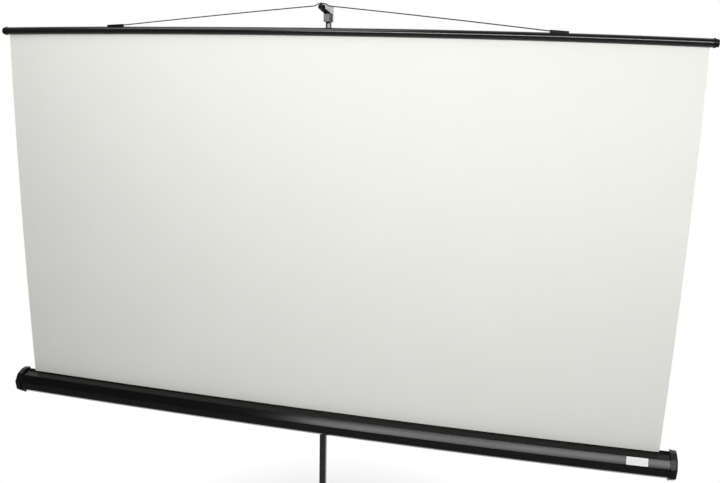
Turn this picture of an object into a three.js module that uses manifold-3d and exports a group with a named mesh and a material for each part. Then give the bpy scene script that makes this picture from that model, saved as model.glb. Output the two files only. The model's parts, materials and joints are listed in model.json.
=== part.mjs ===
// Tripod projection screen: a spring roller in an eight-sided case that slides on a square pole, a white
// fabric pulled up to a round batten, a wire bail hung on a gooseneck, and three folding legs.
// Millimetres. +X is to the viewer's right, the fabric faces -Y and +Z is up from the floor.
import * as THREE from "three";
import { mergeVertices } from "three/addons/utils/BufferGeometryUtils.js";
import Module from "manifold-3d";

const wasm = await Module();
wasm.setup();

// Fits
const GAP = 0.3;
const SLIDE_GAP = 0.4;
const CUT_MARGIN = 5;

// Screen fabric and the heights it hangs between
const FABRIC_WIDTH = 2210;
const FABRIC_DROP = 1218;
const FABRIC_THICK = 0.5;
const POLE_TO_FABRIC = 75;
const CASE_HEIGHT = 743;

// Roller and its spring
const ROLLER_DIAMETER = 30;
const ROLLER_WALL = 1.5;
const ROLLER_OVERHANG = 3;
const WOUND_DIAMETER = 35;
const PLUG_FLANGE = 5;
const PLUG_SPIGOT = 28;
const ROLLER_PIN_DIAMETER = 6;
const SPRING_ROD_DIAMETER = 8;
const SPRING_ROD_LENGTH = 430;
const SPRING_WIRE = 2.2;
const SPRING_TURNS = 18;
const SPRING_PITCH = 14;
const SPRING_INSET = 75;
const SPRING_AIR = 2;

// Eight-sided case, turned a little forward about the roller
const CASE_FLATS = 69.85;
const CASE_WALL = 1.2;
const CASE_TILT = THREE.MathUtils.degToRad(9);
const CASE_OVERHANG = 43;
const LIP_RISE = 4.5;
const FRONT_LIP_REACH = 8.7;
const REAR_LIP_REACH = 4;
const CAP_GROW = 4;
const CAP_COLLAR = 12;
const CAP_REACH = 10;
const CAP_EDGE = 5;
const CAP_RIM = 1.2;
const CAP_RIM_WIDTH = 6;
const CAP_WALL = 4;
const BRACKET_THICK = 3;
const BRACKET_INSET = 8;
const LABEL_LENGTH = 66;
const LABEL_HEIGHT = 25;
const LABEL_THICK = 0.3;
const LABEL_INSET = 69;

// Batten and bail
const BATTEN_DIAMETER = 25;
const BATTEN_WALL = 1.2;
const BATTEN_OVERHANG = 12.5;
const BATTEN_SLOT = 2.2;
const BATTEN_CAP_RIM = 1.4;
const BATTEN_CAP_RING = 4.5;
const BATTEN_CAP_LIP = 2;
const BATTEN_CAP_STEP = 1;
const BATTEN_CAP_DOME = 11.5;
const BATTEN_CAP_ROUND = 5;
const SPLINE_DIAMETER = 8;
const SPLINE_SLIT = 1.1;
const SPLINE_ROOT = 2.5;
const BAIL_WIRE = 3;
const BAIL_SPREAD = 695;
const BAIL_HUMP_HALF = 17;
const BAIL_HUMP_FOOT = 26;
const BAIL_HUMP_RISE = 7;
const BAIL_BEND = 4;
const BAIL_STEPS = 160;
const CLIP_LENGTH = 54;
const CLIP_WIDTH = 13;
const CLIP_HEIGHT = 9;
const CLIP_GRIP = 5;
const CLIP_WEDGE = 26;
const CLIP_TOE = 3;
const CLIP_TO_BEND = 2;

// Pole and the sliding upper tube
const POLE_WIDTH = 22;
const POLE_WALL = 1.5;
const POLE_CORNER = 4;
const POLE_TOP = 1205;
const MAST_WIDTH = 16;
const MAST_WALL = 1.5;
const MAST_CORNER = 3;
const MAST_OVERLAP = 105;
const SHOE_HEIGHT = 20;
const SHOE_SPIGOT = 14;
const GUIDE_WALL = 5;
const GUIDE_DEPTH = 30;
const GUIDE_LID = 18;
const BOSS_DIAMETER = 16;
const BOSS_REACH = 8;

// Head and gooseneck hook
const HEAD_WIDTH = 20;
const HEAD_DEPTH = 22;
const HEAD_HEIGHT = 25;
const HEAD_CORNER = 2;
const HEAD_NOSE = 14;
const HEAD_ABOVE_BATTEN = 19;
const MAST_IN_HEAD = 18;
const ARM_WALL = 1.5;
const ARM_ABOVE_HEAD = 24.5;
const ARM_NOSE_DEPTH = 12;
const ARM_PAST_WIRE = 4;
const ARM_BACK = 3;
const ARM_CHEEK = 3.7;
const TIP_WIDTH = 9;
const TIP_HEIGHT = 20;
const TIP_LENGTH = 8;
const TIP_LIP = 5;
const TIP_NECK = 6;

// Slider that carries the case
const SLIDER_WALL = 4;
const SLIDER_BELOW = 58;
const SLIDER_ABOVE = 12;
const SLIDER_BOSS_DIAMETER = 24;
const STUD_DIAMETER = 10;
const STUD_IN_BOSS = 18;
const STUD_IN_SADDLE = 8;
const WASHER_DIAMETER = 44;
const WASHER_THICK = 2;
const SADDLE_LENGTH = 120;
const SADDLE_BACK = 16;
const SADDLE_TOP_SHARE = 0.2;
const SADDLE_FOOT_SHARE = 0.5;
const LEVER_LENGTH = 42;
const LEVER_SLANT = 10;
const LEVER_THICK = 9;
const LEVER_WIDTH = 14;
const LEVER_PIN_DIAMETER = 4;
const LEVER_STANDOFF = 7;
const LEVER_BELOW_CASE = 8;
const EAR_THICK = 4;
const HANDLE_LENGTH = 140;
const HANDLE_REACH = 36;
const HANDLE_BAR = 10;
const HANDLE_POST = 18;
const HANDLE_WIDTH = 18;
const HANDLE_CENTRE = 250;

// Folding legs
const LEG_COUNT = 3;
const LEG_LENGTH = 620;
const LEG_WIDTH = 22;
const LEG_DEPTH = 14;
const LEG_WALL = 1.5;
const LEG_END = 8;
const LEG_SPREAD = THREE.MathUtils.degToRad(58);
const STRUT_LENGTH = 240;
const STRUT_WIDTH = 12;
const STRUT_DEPTH = 10;
const PIVOT_RADIUS = 30;
const PIN_DIAMETER = 6;
const RIVET_HEAD = 1.2;
const RIVET_DIAMETER = 11;
const CORE_DIAMETER = 36;
const EAR_DEPTH = 15;
const COLLAR_BELOW = 18;
const COLLAR_ABOVE = 26;
const COLLAR_BOSS_RISE = 12;
const HUB_BELOW = 16;
const HUB_ABOVE = 22;
const HUB_FLOOR = 6;
const FOOT_DIAMETER = 42;
const FOOT_TOP_DIAMETER = 34;
const FOOT_HEIGHT = 26;
const FOOT_SOLE = 4;
const FOOT_CHAMFER = 2;
const FOOT_CHAMFER_RISE = 3;
const FOOT_INSET = 6;
const KNOB_DIAMETER = 28;
const KNOB_LOBES = 5;
const KNOB_LOBE_STEPS = 8;
const KNOB_LOBE_DEPTH = 2;
const KNOB_HUB_DIAMETER = 18;
const KNOB_THICK = 12;
const KNOB_NECK = 4;
const KNOB_STEM_DIAMETER = 8;

// Facets on round pieces: an arc has two for each step, a turned piece has one
const ROUND = 14;
const SMALL_ROUND = 6;
const CORNER_STEPS = 2;
const WIRE_STEPS = 3;
const LATHE_SIDES = 28;
const FOOT_SIDES = 16;
const SPRING_STEPS = 8;

// Places that follow from the sizes
const FABRIC_Y = -POLE_TO_FABRIC;
const ROLLER_Y = FABRIC_Y - WOUND_DIAMETER / 2 - GAP - FABRIC_THICK / 2;
const FABRIC_BEHIND = FABRIC_Y - ROLLER_Y;
const CASE_HALF = FABRIC_WIDTH / 2 + CASE_OVERHANG;
const FRONT_LIP = FABRIC_BEHIND - FRONT_LIP_REACH;
const REAR_LIP = FABRIC_BEHIND + REAR_LIP_REACH;
const CASE_RADIUS = CASE_FLATS / 2 / Math.cos(Math.PI / 8);
const LIP_TOP = CASE_HEIGHT + CASE_RADIUS * Math.sin(Math.PI * 5 / 8 - CASE_TILT) + LIP_RISE;
const BATTEN_Z = LIP_TOP + FABRIC_DROP + BATTEN_DIAMETER / 2;
const BATTEN_HALF = FABRIC_WIDTH / 2 + BATTEN_OVERHANG;
const SPLINE_Z = BATTEN_Z - BATTEN_DIAMETER / 2 + BATTEN_WALL + GAP + SPLINE_DIAMETER / 2;
const FABRIC_TOP = SPLINE_Z + SPLINE_ROOT - GAP;
const HEAD_Z = BATTEN_Z + BATTEN_DIAMETER / 2 + HEAD_ABOVE_BATTEN;
const ARM_TOP = HEAD_Z + HEAD_HEIGHT + ARM_ABOVE_HEAD;
const BAIL_TOP = ARM_TOP + GAP + BAIL_WIRE / 2;
const CLIP_TOP = BATTEN_Z + BATTEN_DIAMETER / 2 + CLIP_HEIGHT;
const BAIL_Z = CLIP_TOP - CLIP_HEIGHT / 2;
const LEG_TOE = FOOT_SOLE + GAP + LEG_DEPTH / 2 * Math.sin(LEG_SPREAD);
const COLLAR_Z = LEG_TOE + LEG_LENGTH * Math.cos(LEG_SPREAD);
const HUB_Z = COLLAR_Z - 2 * STRUT_LENGTH * Math.cos(LEG_SPREAD);
const POLE_BOTTOM = HUB_Z - HUB_BELOW + HUB_FLOOR;
const MAST_BOTTOM = POLE_TOP - MAST_OVERLAP;

// Finishes
function finish(color, roughness, metalness) {
  return () => new THREE.MeshStandardMaterial({ color, roughness, metalness });
}
const whiteFabric = finish(0xe9eae4, 0.9, 0);
const caseBlack = finish(0x1b1c1d, 0.45, 0.3);
const tubeBlack = finish(0x141516, 0.3, 0.3);
const mouldedBlack = finish(0x202122, 0.6, 0);
const greyPlastic = finish(0x74777a, 0.55, 0);
const zincSteel = finish(0xb9bcc0, 0.4, 0.9);
const bareLabel = finish(0xeceded, 0.6, 0);
const blackRubber = finish(0x111111, 0.9, 0);

// Closed indexed geometry that faces out, with only its corners
function closed(source) {
  const bare = source.clone();
  bare.deleteAttribute("normal");
  bare.deleteAttribute("uv");
  const merged = mergeVertices(bare, 1e-4);
  const corners = merged.index.array;
  const faces = [];
  for (let i = 0; i < corners.length; i += 3) {
    const [a, b, c] = [corners[i], corners[i + 1], corners[i + 2]];
    if (a !== b && b !== c && c !== a) faces.push([a, b, c]);
  }
  const place = merged.attributes.position;
  const [p, q, r] = [new THREE.Vector3(), new THREE.Vector3(), new THREE.Vector3()];
  let volume = 0;
  for (const [a, b, c] of faces) {
    p.fromBufferAttribute(place, a);
    q.fromBufferAttribute(place, b);
    r.fromBufferAttribute(place, c);
    volume += p.dot(q.cross(r));
  }
  merged.setIndex(faces.flatMap(([a, b, c]) => (volume > 0 ? [a, b, c] : [a, c, b])));
  return merged;
}

function toSolid(geometry) {
  const body = closed(geometry);
  return new wasm.Manifold(new wasm.Mesh({
    numProp: 3,
    vertProperties: new Float32Array(body.attributes.position.array),
    triVerts: new Uint32Array(body.index.array),
  }));
}

function toGeometry(solid) {
  const mesh = solid.getMesh();
  const geometry = new THREE.BufferGeometry();
  geometry.setAttribute("position", new THREE.BufferAttribute(mesh.vertProperties, 3));
  geometry.setIndex(new THREE.BufferAttribute(mesh.triVerts, 1));
  return geometry;
}

function join(...pieces) {
  return toGeometry(pieces.map(toSolid).reduce((whole, piece) => whole.add(piece)));
}

function cut(base, ...tools) {
  return toGeometry(tools.map(toSolid).reduce((rest, tool) => rest.subtract(tool), toSolid(base)));
}

// Outlines
function polygon(points) {
  return new THREE.Shape(points.map(([x, y]) => new THREE.Vector2(x, y)));
}

function roundedRect(width, height, radius) {
  const [x, y] = [width / 2 - radius, height / 2 - radius];
  const shape = new THREE.Shape();
  shape.absarc(x, y, radius, 0, Math.PI / 2);
  shape.absarc(-x, y, radius, Math.PI / 2, Math.PI);
  shape.absarc(-x, -y, radius, Math.PI, Math.PI * 3 / 2);
  shape.absarc(x, -y, radius, Math.PI * 3 / 2, Math.PI * 2);
  return shape;
}

function capsule(from, to, radius) {
  const along = Math.atan2(to[1] - from[1], to[0] - from[0]);
  const shape = new THREE.Shape();
  shape.absarc(to[0], to[1], radius, along - Math.PI / 2, along + Math.PI / 2);
  shape.absarc(from[0], from[1], radius, along + Math.PI / 2, along + Math.PI * 3 / 2);
  return shape;
}

function circle(radius, x = 0, y = 0) {
  return new THREE.Shape().absarc(x, y, radius, 0, Math.PI * 2);
}

function withHoles(shape, ...holes) {
  shape.holes.push(...holes);
  return shape;
}

// Corners of an octagon about the roller, as y and z, turned forward by tilt
function octagon(flats, tilt) {
  const radius = flats / 2 / Math.cos(Math.PI / 8);
  return Array.from({ length: 8 }, (_, k) => {
    const angle = Math.PI / 8 + k * Math.PI / 4 - tilt;
    return [-radius * Math.cos(angle), radius * Math.sin(angle)];
  });
}

// Point at a given y on the line through two corners
function atY([ya, za], [yb, zb], y) {
  return [y, za + (zb - za) * (y - ya) / (yb - ya)];
}

function between([ya, za], [yb, zb], share) {
  return [ya + (yb - ya) * share, za + (zb - za) * share];
}

// Prisms: the outline is given in the two other axes, in the order X, Y, Z
function prismZ(shape, low, high, arcs = CORNER_STEPS) {
  const depth = high - low;
  const body = new THREE.ExtrudeGeometry(shape, { depth, bevelEnabled: false, curveSegments: arcs });
  return body.translate(0, 0, low);
}

function prismX(shape, low, high, arcs = CORNER_STEPS) {
  const turn = new THREE.Matrix4().set(0, 0, 1, 0, 1, 0, 0, 0, 0, 1, 0, 0, 0, 0, 0, 1);
  return prismZ(shape, low, high, arcs).applyMatrix4(turn);
}

function prismY(shape, low, high, arcs = CORNER_STEPS) {
  return prismZ(shape, -high, -low, arcs).rotateX(Math.PI / 2);
}

function rodX(radius, low, high, sides = SMALL_ROUND) {
  return prismX(circle(radius), low, high, sides);
}

function rodY(radius, low, high, sides = SMALL_ROUND) {
  return prismY(circle(radius), low, high, sides);
}

function rodZ(radius, low, high, sides = SMALL_ROUND) {
  return prismZ(circle(radius), low, high, sides);
}

function box(low, high) {
  const size = high.map((value, i) => value - low[i]);
  const middle = high.map((value, i) => (value + low[i]) / 2);
  return new THREE.BoxGeometry(...size).translate(...middle);
}

function add(group, name, geometry, material) {
  const body = closed(geometry);
  body.computeVertexNormals();
  const mesh = new THREE.Mesh(body, material());
  mesh.name = name;
  group.add(mesh);
  return mesh;
}

const SIDES = [["left", -1], ["right", 1]];

// Geometry made for the right-hand end, mirrored for the left-hand end
function handed(geometry, side) {
  return side > 0 ? geometry : geometry.clone().scale(-1, 1, 1);
}

// Clamp knob along +X, its stem starting at the origin
function clampKnob(stemLength) {
  const head = new THREE.Shape();
  const points = KNOB_LOBES * KNOB_LOBE_STEPS;
  for (let i = 0; i < points; i += 1) {
    const angle = i / points * Math.PI * 2;
    const reach = KNOB_DIAMETER / 2 - KNOB_LOBE_DEPTH * (1 - Math.cos(KNOB_LOBES * angle)) / 2;
    const [x, y] = [reach * Math.cos(angle), reach * Math.sin(angle)];
    if (i) head.lineTo(x, y);
    else head.moveTo(x, y);
  }
  const neck = stemLength + KNOB_NECK;
  return join(
    rodX(KNOB_STEM_DIAMETER / 2, 0, neck + KNOB_THICK / 2),
    rodX(KNOB_HUB_DIAMETER / 2, stemLength + GAP, neck + KNOB_THICK / 2),
    prismX(head, neck, neck + KNOB_THICK),
  );
}

// Round core on the pole, with a riveted pair of ears for each leg piece that turns between them
function forkedCore(zLow, zHigh, pivotZ, forkWidth) {
  const pieces = [rodZ(CORE_DIAMETER / 2, zLow, zHigh, ROUND)];
  const slots = [];
  const width = forkWidth + 2 * SLIDE_GAP;
  const outer = width / 2 + EAR_THICK;
  const head = outer + RIVET_HEAD;
  const reach = PIVOT_RADIUS + EAR_DEPTH;
  for (const azimuth of legAzimuths()) {
    const turn = (geometry) => geometry.translate(0, 0, pivotZ).rotateZ(azimuth);
    const ear = capsule([0, 0], [PIVOT_RADIUS, 0], EAR_DEPTH / 2);
    pieces.push(turn(prismY(ear, -outer, outer, SMALL_ROUND)));
    pieces.push(turn(rodY(RIVET_DIAMETER / 2, -head, head).translate(PIVOT_RADIUS, 0, 0)));
    slots.push(turn(box([CORE_DIAMETER / 2, -width / 2, -EAR_DEPTH], [reach, width / 2, EAR_DEPTH])));
  }
  return { body: join(...pieces), slots };
}

function legAzimuths() {
  return Array.from({ length: LEG_COUNT }, (_, i) => Math.PI / 2 + i * 2 * Math.PI / LEG_COUNT);
}

function squareBore(width, corner, zLow, zHigh) {
  return prismZ(roundedRect(width, width, corner), zLow, zHigh);
}

// Tripod: pole, fixed hub, sliding leg collar, legs, struts and feet
function buildTripod() {
  const group = new THREE.Group();
  const inner = POLE_WIDTH - 2 * POLE_WALL;
  const pole = withHoles(
    roundedRect(POLE_WIDTH, POLE_WIDTH, POLE_CORNER),
    roundedRect(inner, inner, POLE_CORNER - POLE_WALL),
  );
  add(group, "pole_tube", prismZ(pole, POLE_BOTTOM + GAP, POLE_TOP), tubeBlack);

  const hub = forkedCore(HUB_Z - HUB_BELOW, HUB_Z + HUB_ABOVE, HUB_Z, STRUT_WIDTH);
  const hubTop = HUB_Z + HUB_ABOVE;
  const hubBore = squareBore(POLE_WIDTH + 2 * GAP, POLE_CORNER, POLE_BOTTOM, hubTop + CUT_MARGIN);
  add(group, "foot_hub", cut(hub.body, ...hub.slots, hubBore), mouldedBlack);

  const collar = forkedCore(COLLAR_Z - COLLAR_BELOW, COLLAR_Z + COLLAR_ABOVE, COLLAR_Z, LEG_WIDTH);
  const knobTurn = Math.PI / 2 - Math.PI / LEG_COUNT;
  const bossEnd = CORE_DIAMETER / 2 + BOSS_REACH;
  const knobPlace = new THREE.Matrix4().makeRotationZ(knobTurn)
    .setPosition(0, 0, COLLAR_Z + COLLAR_BOSS_RISE);
  const boss = rodX(BOSS_DIAMETER / 2, 0, bossEnd).applyMatrix4(knobPlace);
  const stemHole = rodX(KNOB_STEM_DIAMETER / 2 + GAP, 0, bossEnd + CUT_MARGIN).applyMatrix4(knobPlace);
  const collarBore = squareBore(
    POLE_WIDTH + 2 * SLIDE_GAP,
    POLE_CORNER,
    COLLAR_Z - COLLAR_BELOW - CUT_MARGIN,
    COLLAR_Z + COLLAR_ABOVE + CUT_MARGIN,
  );
  const pinReach = LEG_WIDTH / 2 + SLIDE_GAP + EAR_THICK / 2;
  const pinHoles = legAzimuths().map((azimuth) => rodY(PIN_DIAMETER / 2 + GAP, -pinReach, pinReach)
    .translate(PIVOT_RADIUS, 0, COLLAR_Z).rotateZ(azimuth));
  const collarBody = cut(join(collar.body, boss), ...collar.slots, ...pinHoles, stemHole, collarBore);
  add(group, "leg_collar", collarBody, mouldedBlack);
  const cornerCentre = (POLE_WIDTH / 2 - POLE_CORNER) * (Math.cos(knobTurn) + Math.sin(knobTurn));
  const knobStart = cornerCentre + POLE_CORNER + SLIDE_GAP;
  const collarKnob = clampKnob(bossEnd - knobStart).translate(knobStart, 0, 0).applyMatrix4(knobPlace);
  add(group, "collar_knob", collarKnob, mouldedBlack);

  legAzimuths().forEach((azimuth, i) => group.add(buildLeg(azimuth, i + 1)));
  return group;
}

function legPlace() {
  return new THREE.Matrix4().makeRotationY(-LEG_SPREAD).setPosition(PIVOT_RADIUS, 0, COLLAR_Z);
}

// One leg in its own radial frame: +X points away from the pole
function buildLeg(azimuth, number) {
  const radial = new THREE.Group();
  radial.rotation.z = azimuth;

  const leg = new THREE.Group();
  leg.applyMatrix4(legPlace());
  radial.add(leg);
  const [w, d] = [LEG_WIDTH / 2, LEG_DEPTH / 2];
  const [wi, di] = [w - LEG_WALL, d - LEG_WALL];
  const channel = polygon([[-d, -w], [d, -w], [d, w], [-d, w], [-d, wi], [di, wi], [di, -wi], [-d, -wi]]);
  const pinHole = rodY(PIN_DIAMETER / 2 + GAP, -w - CUT_MARGIN, w + CUT_MARGIN);
  const strutHole = pinHole.clone().translate(0, 0, -STRUT_LENGTH);
  add(leg, `leg_${number}`, cut(prismZ(channel, -LEG_LENGTH, LEG_END), pinHole, strutHole), tubeBlack);
  const legPin = w + SLIDE_GAP + EAR_THICK / 2 - GAP;
  add(leg, `leg_pin_${number}`, rodY(PIN_DIAMETER / 2, -legPin, legPin), zincSteel);
  const strutPin = rodY(PIN_DIAMETER / 2, -w - RIVET_HEAD, w + RIVET_HEAD).translate(0, 0, -STRUT_LENGTH);
  add(leg, `strut_pin_${number}`, strutPin, zincSteel);

  const strut = new THREE.Group();
  strut.position.set(PIVOT_RADIUS, 0, HUB_Z);
  strut.rotation.y = LEG_SPREAD;
  radial.add(strut);
  const eye = PIN_DIAMETER / 2 + GAP;
  const bar = withHoles(
    capsule([0, 0], [0, STRUT_LENGTH], STRUT_DEPTH / 2),
    circle(eye),
    circle(eye, 0, STRUT_LENGTH),
  );
  add(strut, `strut_${number}`, prismY(bar, -STRUT_WIDTH / 2, STRUT_WIDTH / 2, SMALL_ROUND), zincSteel);
  const hubPin = STRUT_WIDTH / 2 + SLIDE_GAP / 2;
  add(strut, `hub_pin_${number}`, rodY(PIN_DIAMETER / 2, -hubPin, hubPin), zincSteel);

  const toe = PIVOT_RADIUS + LEG_LENGTH * Math.sin(LEG_SPREAD) - FOOT_INSET;
  const puck = new THREE.LatheGeometry([
    new THREE.Vector2(0, 0),
    new THREE.Vector2(FOOT_DIAMETER / 2 - FOOT_CHAMFER, 0),
    new THREE.Vector2(FOOT_DIAMETER / 2, FOOT_CHAMFER_RISE),
    new THREE.Vector2(FOOT_TOP_DIAMETER / 2, FOOT_HEIGHT),
    new THREE.Vector2(0, FOOT_HEIGHT),
  ], FOOT_SIDES).rotateX(Math.PI / 2).translate(toe, 0, 0);
  const sheath = box([-d - GAP, -w - GAP, -LEG_LENGTH - GAP], [d + GAP, w + GAP, -LEG_LENGTH / 2]);
  add(radial, `foot_${number}`, cut(puck, sheath.applyMatrix4(legPlace())), blackRubber);
  return radial;
}

// Upper tube that slides in the pole, its guide and the gooseneck that holds the bail
function buildMast() {
  const group = new THREE.Group();
  const inner = MAST_WIDTH - 2 * MAST_WALL;
  const mastTop = HEAD_Z + MAST_IN_HEAD;
  const tube = withHoles(
    roundedRect(MAST_WIDTH, MAST_WIDTH, MAST_CORNER),
    roundedRect(inner, inner, MAST_CORNER - MAST_WALL),
  );
  add(group, "extension_tube", prismZ(tube, MAST_BOTTOM, mastTop), tubeBlack);
  const shoeWidth = POLE_WIDTH - 2 * POLE_WALL - 2 * GAP;
  const shoeLow = MAST_BOTTOM - SHOE_HEIGHT;
  const shoe = join(
    squareBore(shoeWidth, POLE_CORNER - POLE_WALL, shoeLow, MAST_BOTTOM - GAP),
    squareBore(inner - 2 * GAP, MAST_CORNER - MAST_WALL, shoeLow, MAST_BOTTOM + SHOE_SPIGOT),
  );
  add(group, "extension_shoe", shoe, greyPlastic);

  const guideWidth = POLE_WIDTH + 2 * GAP + 2 * GUIDE_WALL;
  const knobZ = POLE_TOP + GUIDE_LID / 2;
  const bossEnd = guideWidth / 2 + BOSS_REACH;
  const guide = cut(
    join(
      prismZ(roundedRect(guideWidth, guideWidth, POLE_CORNER), POLE_TOP - GUIDE_DEPTH, POLE_TOP + GUIDE_LID),
      rodX(BOSS_DIAMETER / 2, 0, bossEnd).translate(0, 0, knobZ),
    ),
    squareBore(POLE_WIDTH + 2 * GAP, POLE_CORNER, POLE_TOP - GUIDE_DEPTH - CUT_MARGIN, POLE_TOP + GAP),
    squareBore(MAST_WIDTH + 2 * SLIDE_GAP, MAST_CORNER, POLE_TOP - GAP, POLE_TOP + GUIDE_LID + CUT_MARGIN),
    rodX(KNOB_STEM_DIAMETER / 2 + GAP, 0, bossEnd + CUT_MARGIN).translate(0, 0, knobZ),
  );
  add(group, "mast_guide", guide, mouldedBlack);
  const stemStart = MAST_WIDTH / 2 + SLIDE_GAP;
  add(group, "mast_knob", clampKnob(bossEnd - stemStart).translate(stemStart, 0, knobZ), mouldedBlack);

  const headTop = HEAD_Z + HEAD_HEIGHT;
  const head = cut(
    prismZ(roundedRect(HEAD_WIDTH, HEAD_DEPTH + HEAD_NOSE, HEAD_CORNER), HEAD_Z, headTop)
      .translate(0, -HEAD_NOSE / 2, 0),
    squareBore(MAST_WIDTH + 2 * GAP, MAST_CORNER, HEAD_Z - CUT_MARGIN, mastTop + GAP),
  );
  add(group, "head_block", head, greyPlastic);

  // Channel: a top plate and two cheeks that hold the block and taper towards the nose
  const back = HEAD_DEPTH / 2 + ARM_BACK;
  const nose = FABRIC_Y - ARM_PAST_WIRE;
  const cheekFront = -HEAD_DEPTH / 2;
  const side = polygon([
    [back, HEAD_Z],
    [back, ARM_TOP],
    [nose, ARM_TOP],
    [nose, ARM_TOP - ARM_NOSE_DEPTH],
    [cheekFront, headTop],
    [ARM_CHEEK, headTop],
    [ARM_CHEEK, HEAD_Z],
  ]);
  const half = HEAD_WIDTH / 2 + GAP + ARM_WALL;
  const hollow = half - ARM_WALL;
  const arm = cut(
    prismX(side, -half, half),
    box([-hollow, nose - CUT_MARGIN, HEAD_Z - CUT_MARGIN], [hollow, back - ARM_WALL, ARM_TOP - ARM_WALL]),
  );
  add(group, "gooseneck_arm", arm, zincSteel);
  const tip = new THREE.Shape();
  const tipZ = ARM_TOP + TIP_LIP - TIP_HEIGHT / 2;
  tip.absellipse(0, tipZ, TIP_WIDTH / 2, TIP_HEIGHT / 2, 0, Math.PI * 2);
  const plugHalf = hollow - GAP;
  const plugTop = ARM_TOP - ARM_WALL - GAP;
  const tipBody = join(
    prismY(tip, nose - GAP - TIP_LENGTH, nose - GAP, SMALL_ROUND),
    box([-TIP_NECK / 2, nose - GAP - TIP_LENGTH / 2, ARM_TOP - ARM_NOSE_DEPTH],
      [TIP_NECK / 2, nose + ARM_NOSE_DEPTH, plugTop]),
    box([-plugHalf, nose + ARM_NOSE_DEPTH / 2, ARM_TOP - ARM_NOSE_DEPTH],
      [plugHalf, nose + ARM_NOSE_DEPTH, plugTop]),
  );
  add(group, "gooseneck_tip", tipBody, mouldedBlack);
  return group;
}

// Case section: an octagon open at the slot, with a raised lip on each side of the fabric
function caseShell() {
  const outer = octagon(CASE_FLATS, CASE_TILT);
  const inner = octagon(CASE_FLATS - 2 * CASE_WALL, CASE_TILT);
  const around = [2, 1, 0, 7, 6, 5, 4, 3];
  const ends = (ring) => [
    atY(ring[2], ring[3], FRONT_LIP + CASE_WALL),
    ...around.map((k) => ring[k]),
    atY(ring[2], ring[3], REAR_LIP),
  ];
  const section = polygon([...ends(outer), ...ends(inner).reverse()]);
  const lip = (low) => {
    const foot = atY(inner[2], inner[3], low)[1] + CASE_WALL / 2;
    return box([-CASE_HALF, low, foot], [CASE_HALF, low + CASE_WALL, LIP_TOP - CASE_HEIGHT]);
  };
  return join(
    prismX(section, -CASE_HALF, CASE_HALF),
    lip(FRONT_LIP),
    lip(REAR_LIP),
  );
}

// Outline of the case, grown all round, with a shoulder over the lips of the slot
function capOutline(grow) {
  const ring = octagon(CASE_FLATS + 2 * grow, CASE_TILT);
  const shoulder = LIP_TOP - CASE_HEIGHT + grow;
  return polygon([
    ring[0],
    ring[1],
    [FRONT_LIP - grow, shoulder],
    [REAR_LIP + CASE_WALL + grow, shoulder],
    ...ring.slice(3),
  ]);
}

// Moulded end cap: a collar over the case end, a rim and a rounded outer edge
function endCap() {
  const start = CASE_HALF - CAP_COLLAR;
  const end = CASE_HALF + CAP_REACH;
  const body = new THREE.ExtrudeGeometry(capOutline(CAP_GROW - CAP_EDGE), {
    depth: end - start - 2 * CAP_EDGE,
    bevelThickness: CAP_EDGE,
    bevelSize: CAP_EDGE,
    bevelSegments: CORNER_STEPS,
  });
  const turn = new THREE.Matrix4().set(0, 0, 1, start + CAP_EDGE, 1, 0, 0, 0, 0, 1, 0, 0, 0, 0, 0, 1);
  const shell = join(
    body.applyMatrix4(turn),
    prismX(capOutline(CAP_GROW + CAP_RIM), start, start + CAP_RIM_WIDTH),
  );
  return cut(
    shell,
    prismX(capOutline(GAP), start - CUT_MARGIN, CASE_HALF + GAP),
    prismX(polygon(octagon(CASE_FLATS - 2 * CAP_WALL, CASE_TILT)), CASE_HALF - GAP, end - CAP_WALL),
  );
}

function buildCase() {
  const group = new THREE.Group();
  group.position.set(0, ROLLER_Y, CASE_HEIGHT);
  add(group, "case_shell", caseShell(), caseBlack);
  const bracketAt = CASE_HALF - BRACKET_INSET;
  const plate = polygon(octagon(CASE_FLATS - 2 * CASE_WALL - 2 * GAP, CASE_TILT));
  for (const [name, side] of SIDES) {
    add(group, `end_cap_${name}`, handed(endCap(), side), mouldedBlack);
    const pinRadius = (side > 0 ? SPRING_ROD_DIAMETER : ROLLER_PIN_DIAMETER) / 2 + GAP;
    const bracket = cut(
      prismX(plate, bracketAt - BRACKET_THICK, bracketAt),
      rodX(pinRadius, bracketAt - BRACKET_THICK - CUT_MARGIN, bracketAt + CUT_MARGIN),
    );
    add(group, `roller_bracket_${name}`, handed(bracket, side), zincSteel);
  }
  const upperFront = new THREE.Group();
  upperFront.rotation.x = CASE_TILT - Math.PI / 4;
  const face = -CASE_FLATS / 2 - GAP;
  const labelCentre = FABRIC_WIDTH / 2 - LABEL_INSET;
  const label = box(
    [labelCentre - LABEL_LENGTH / 2, face - LABEL_THICK, -LABEL_HEIGHT / 2],
    [labelCentre + LABEL_LENGTH / 2, face, LABEL_HEIGHT / 2],
  );
  add(upperFront, "label_plate", label, bareLabel);
  const back = new THREE.Group();
  back.rotation.x = CASE_TILT;
  add(back, "carry_handle", carryHandle(), mouldedBlack);
  group.add(upperFront, back);
  group.add(buildSlider(), buildRoller());
  return group;
}

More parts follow.
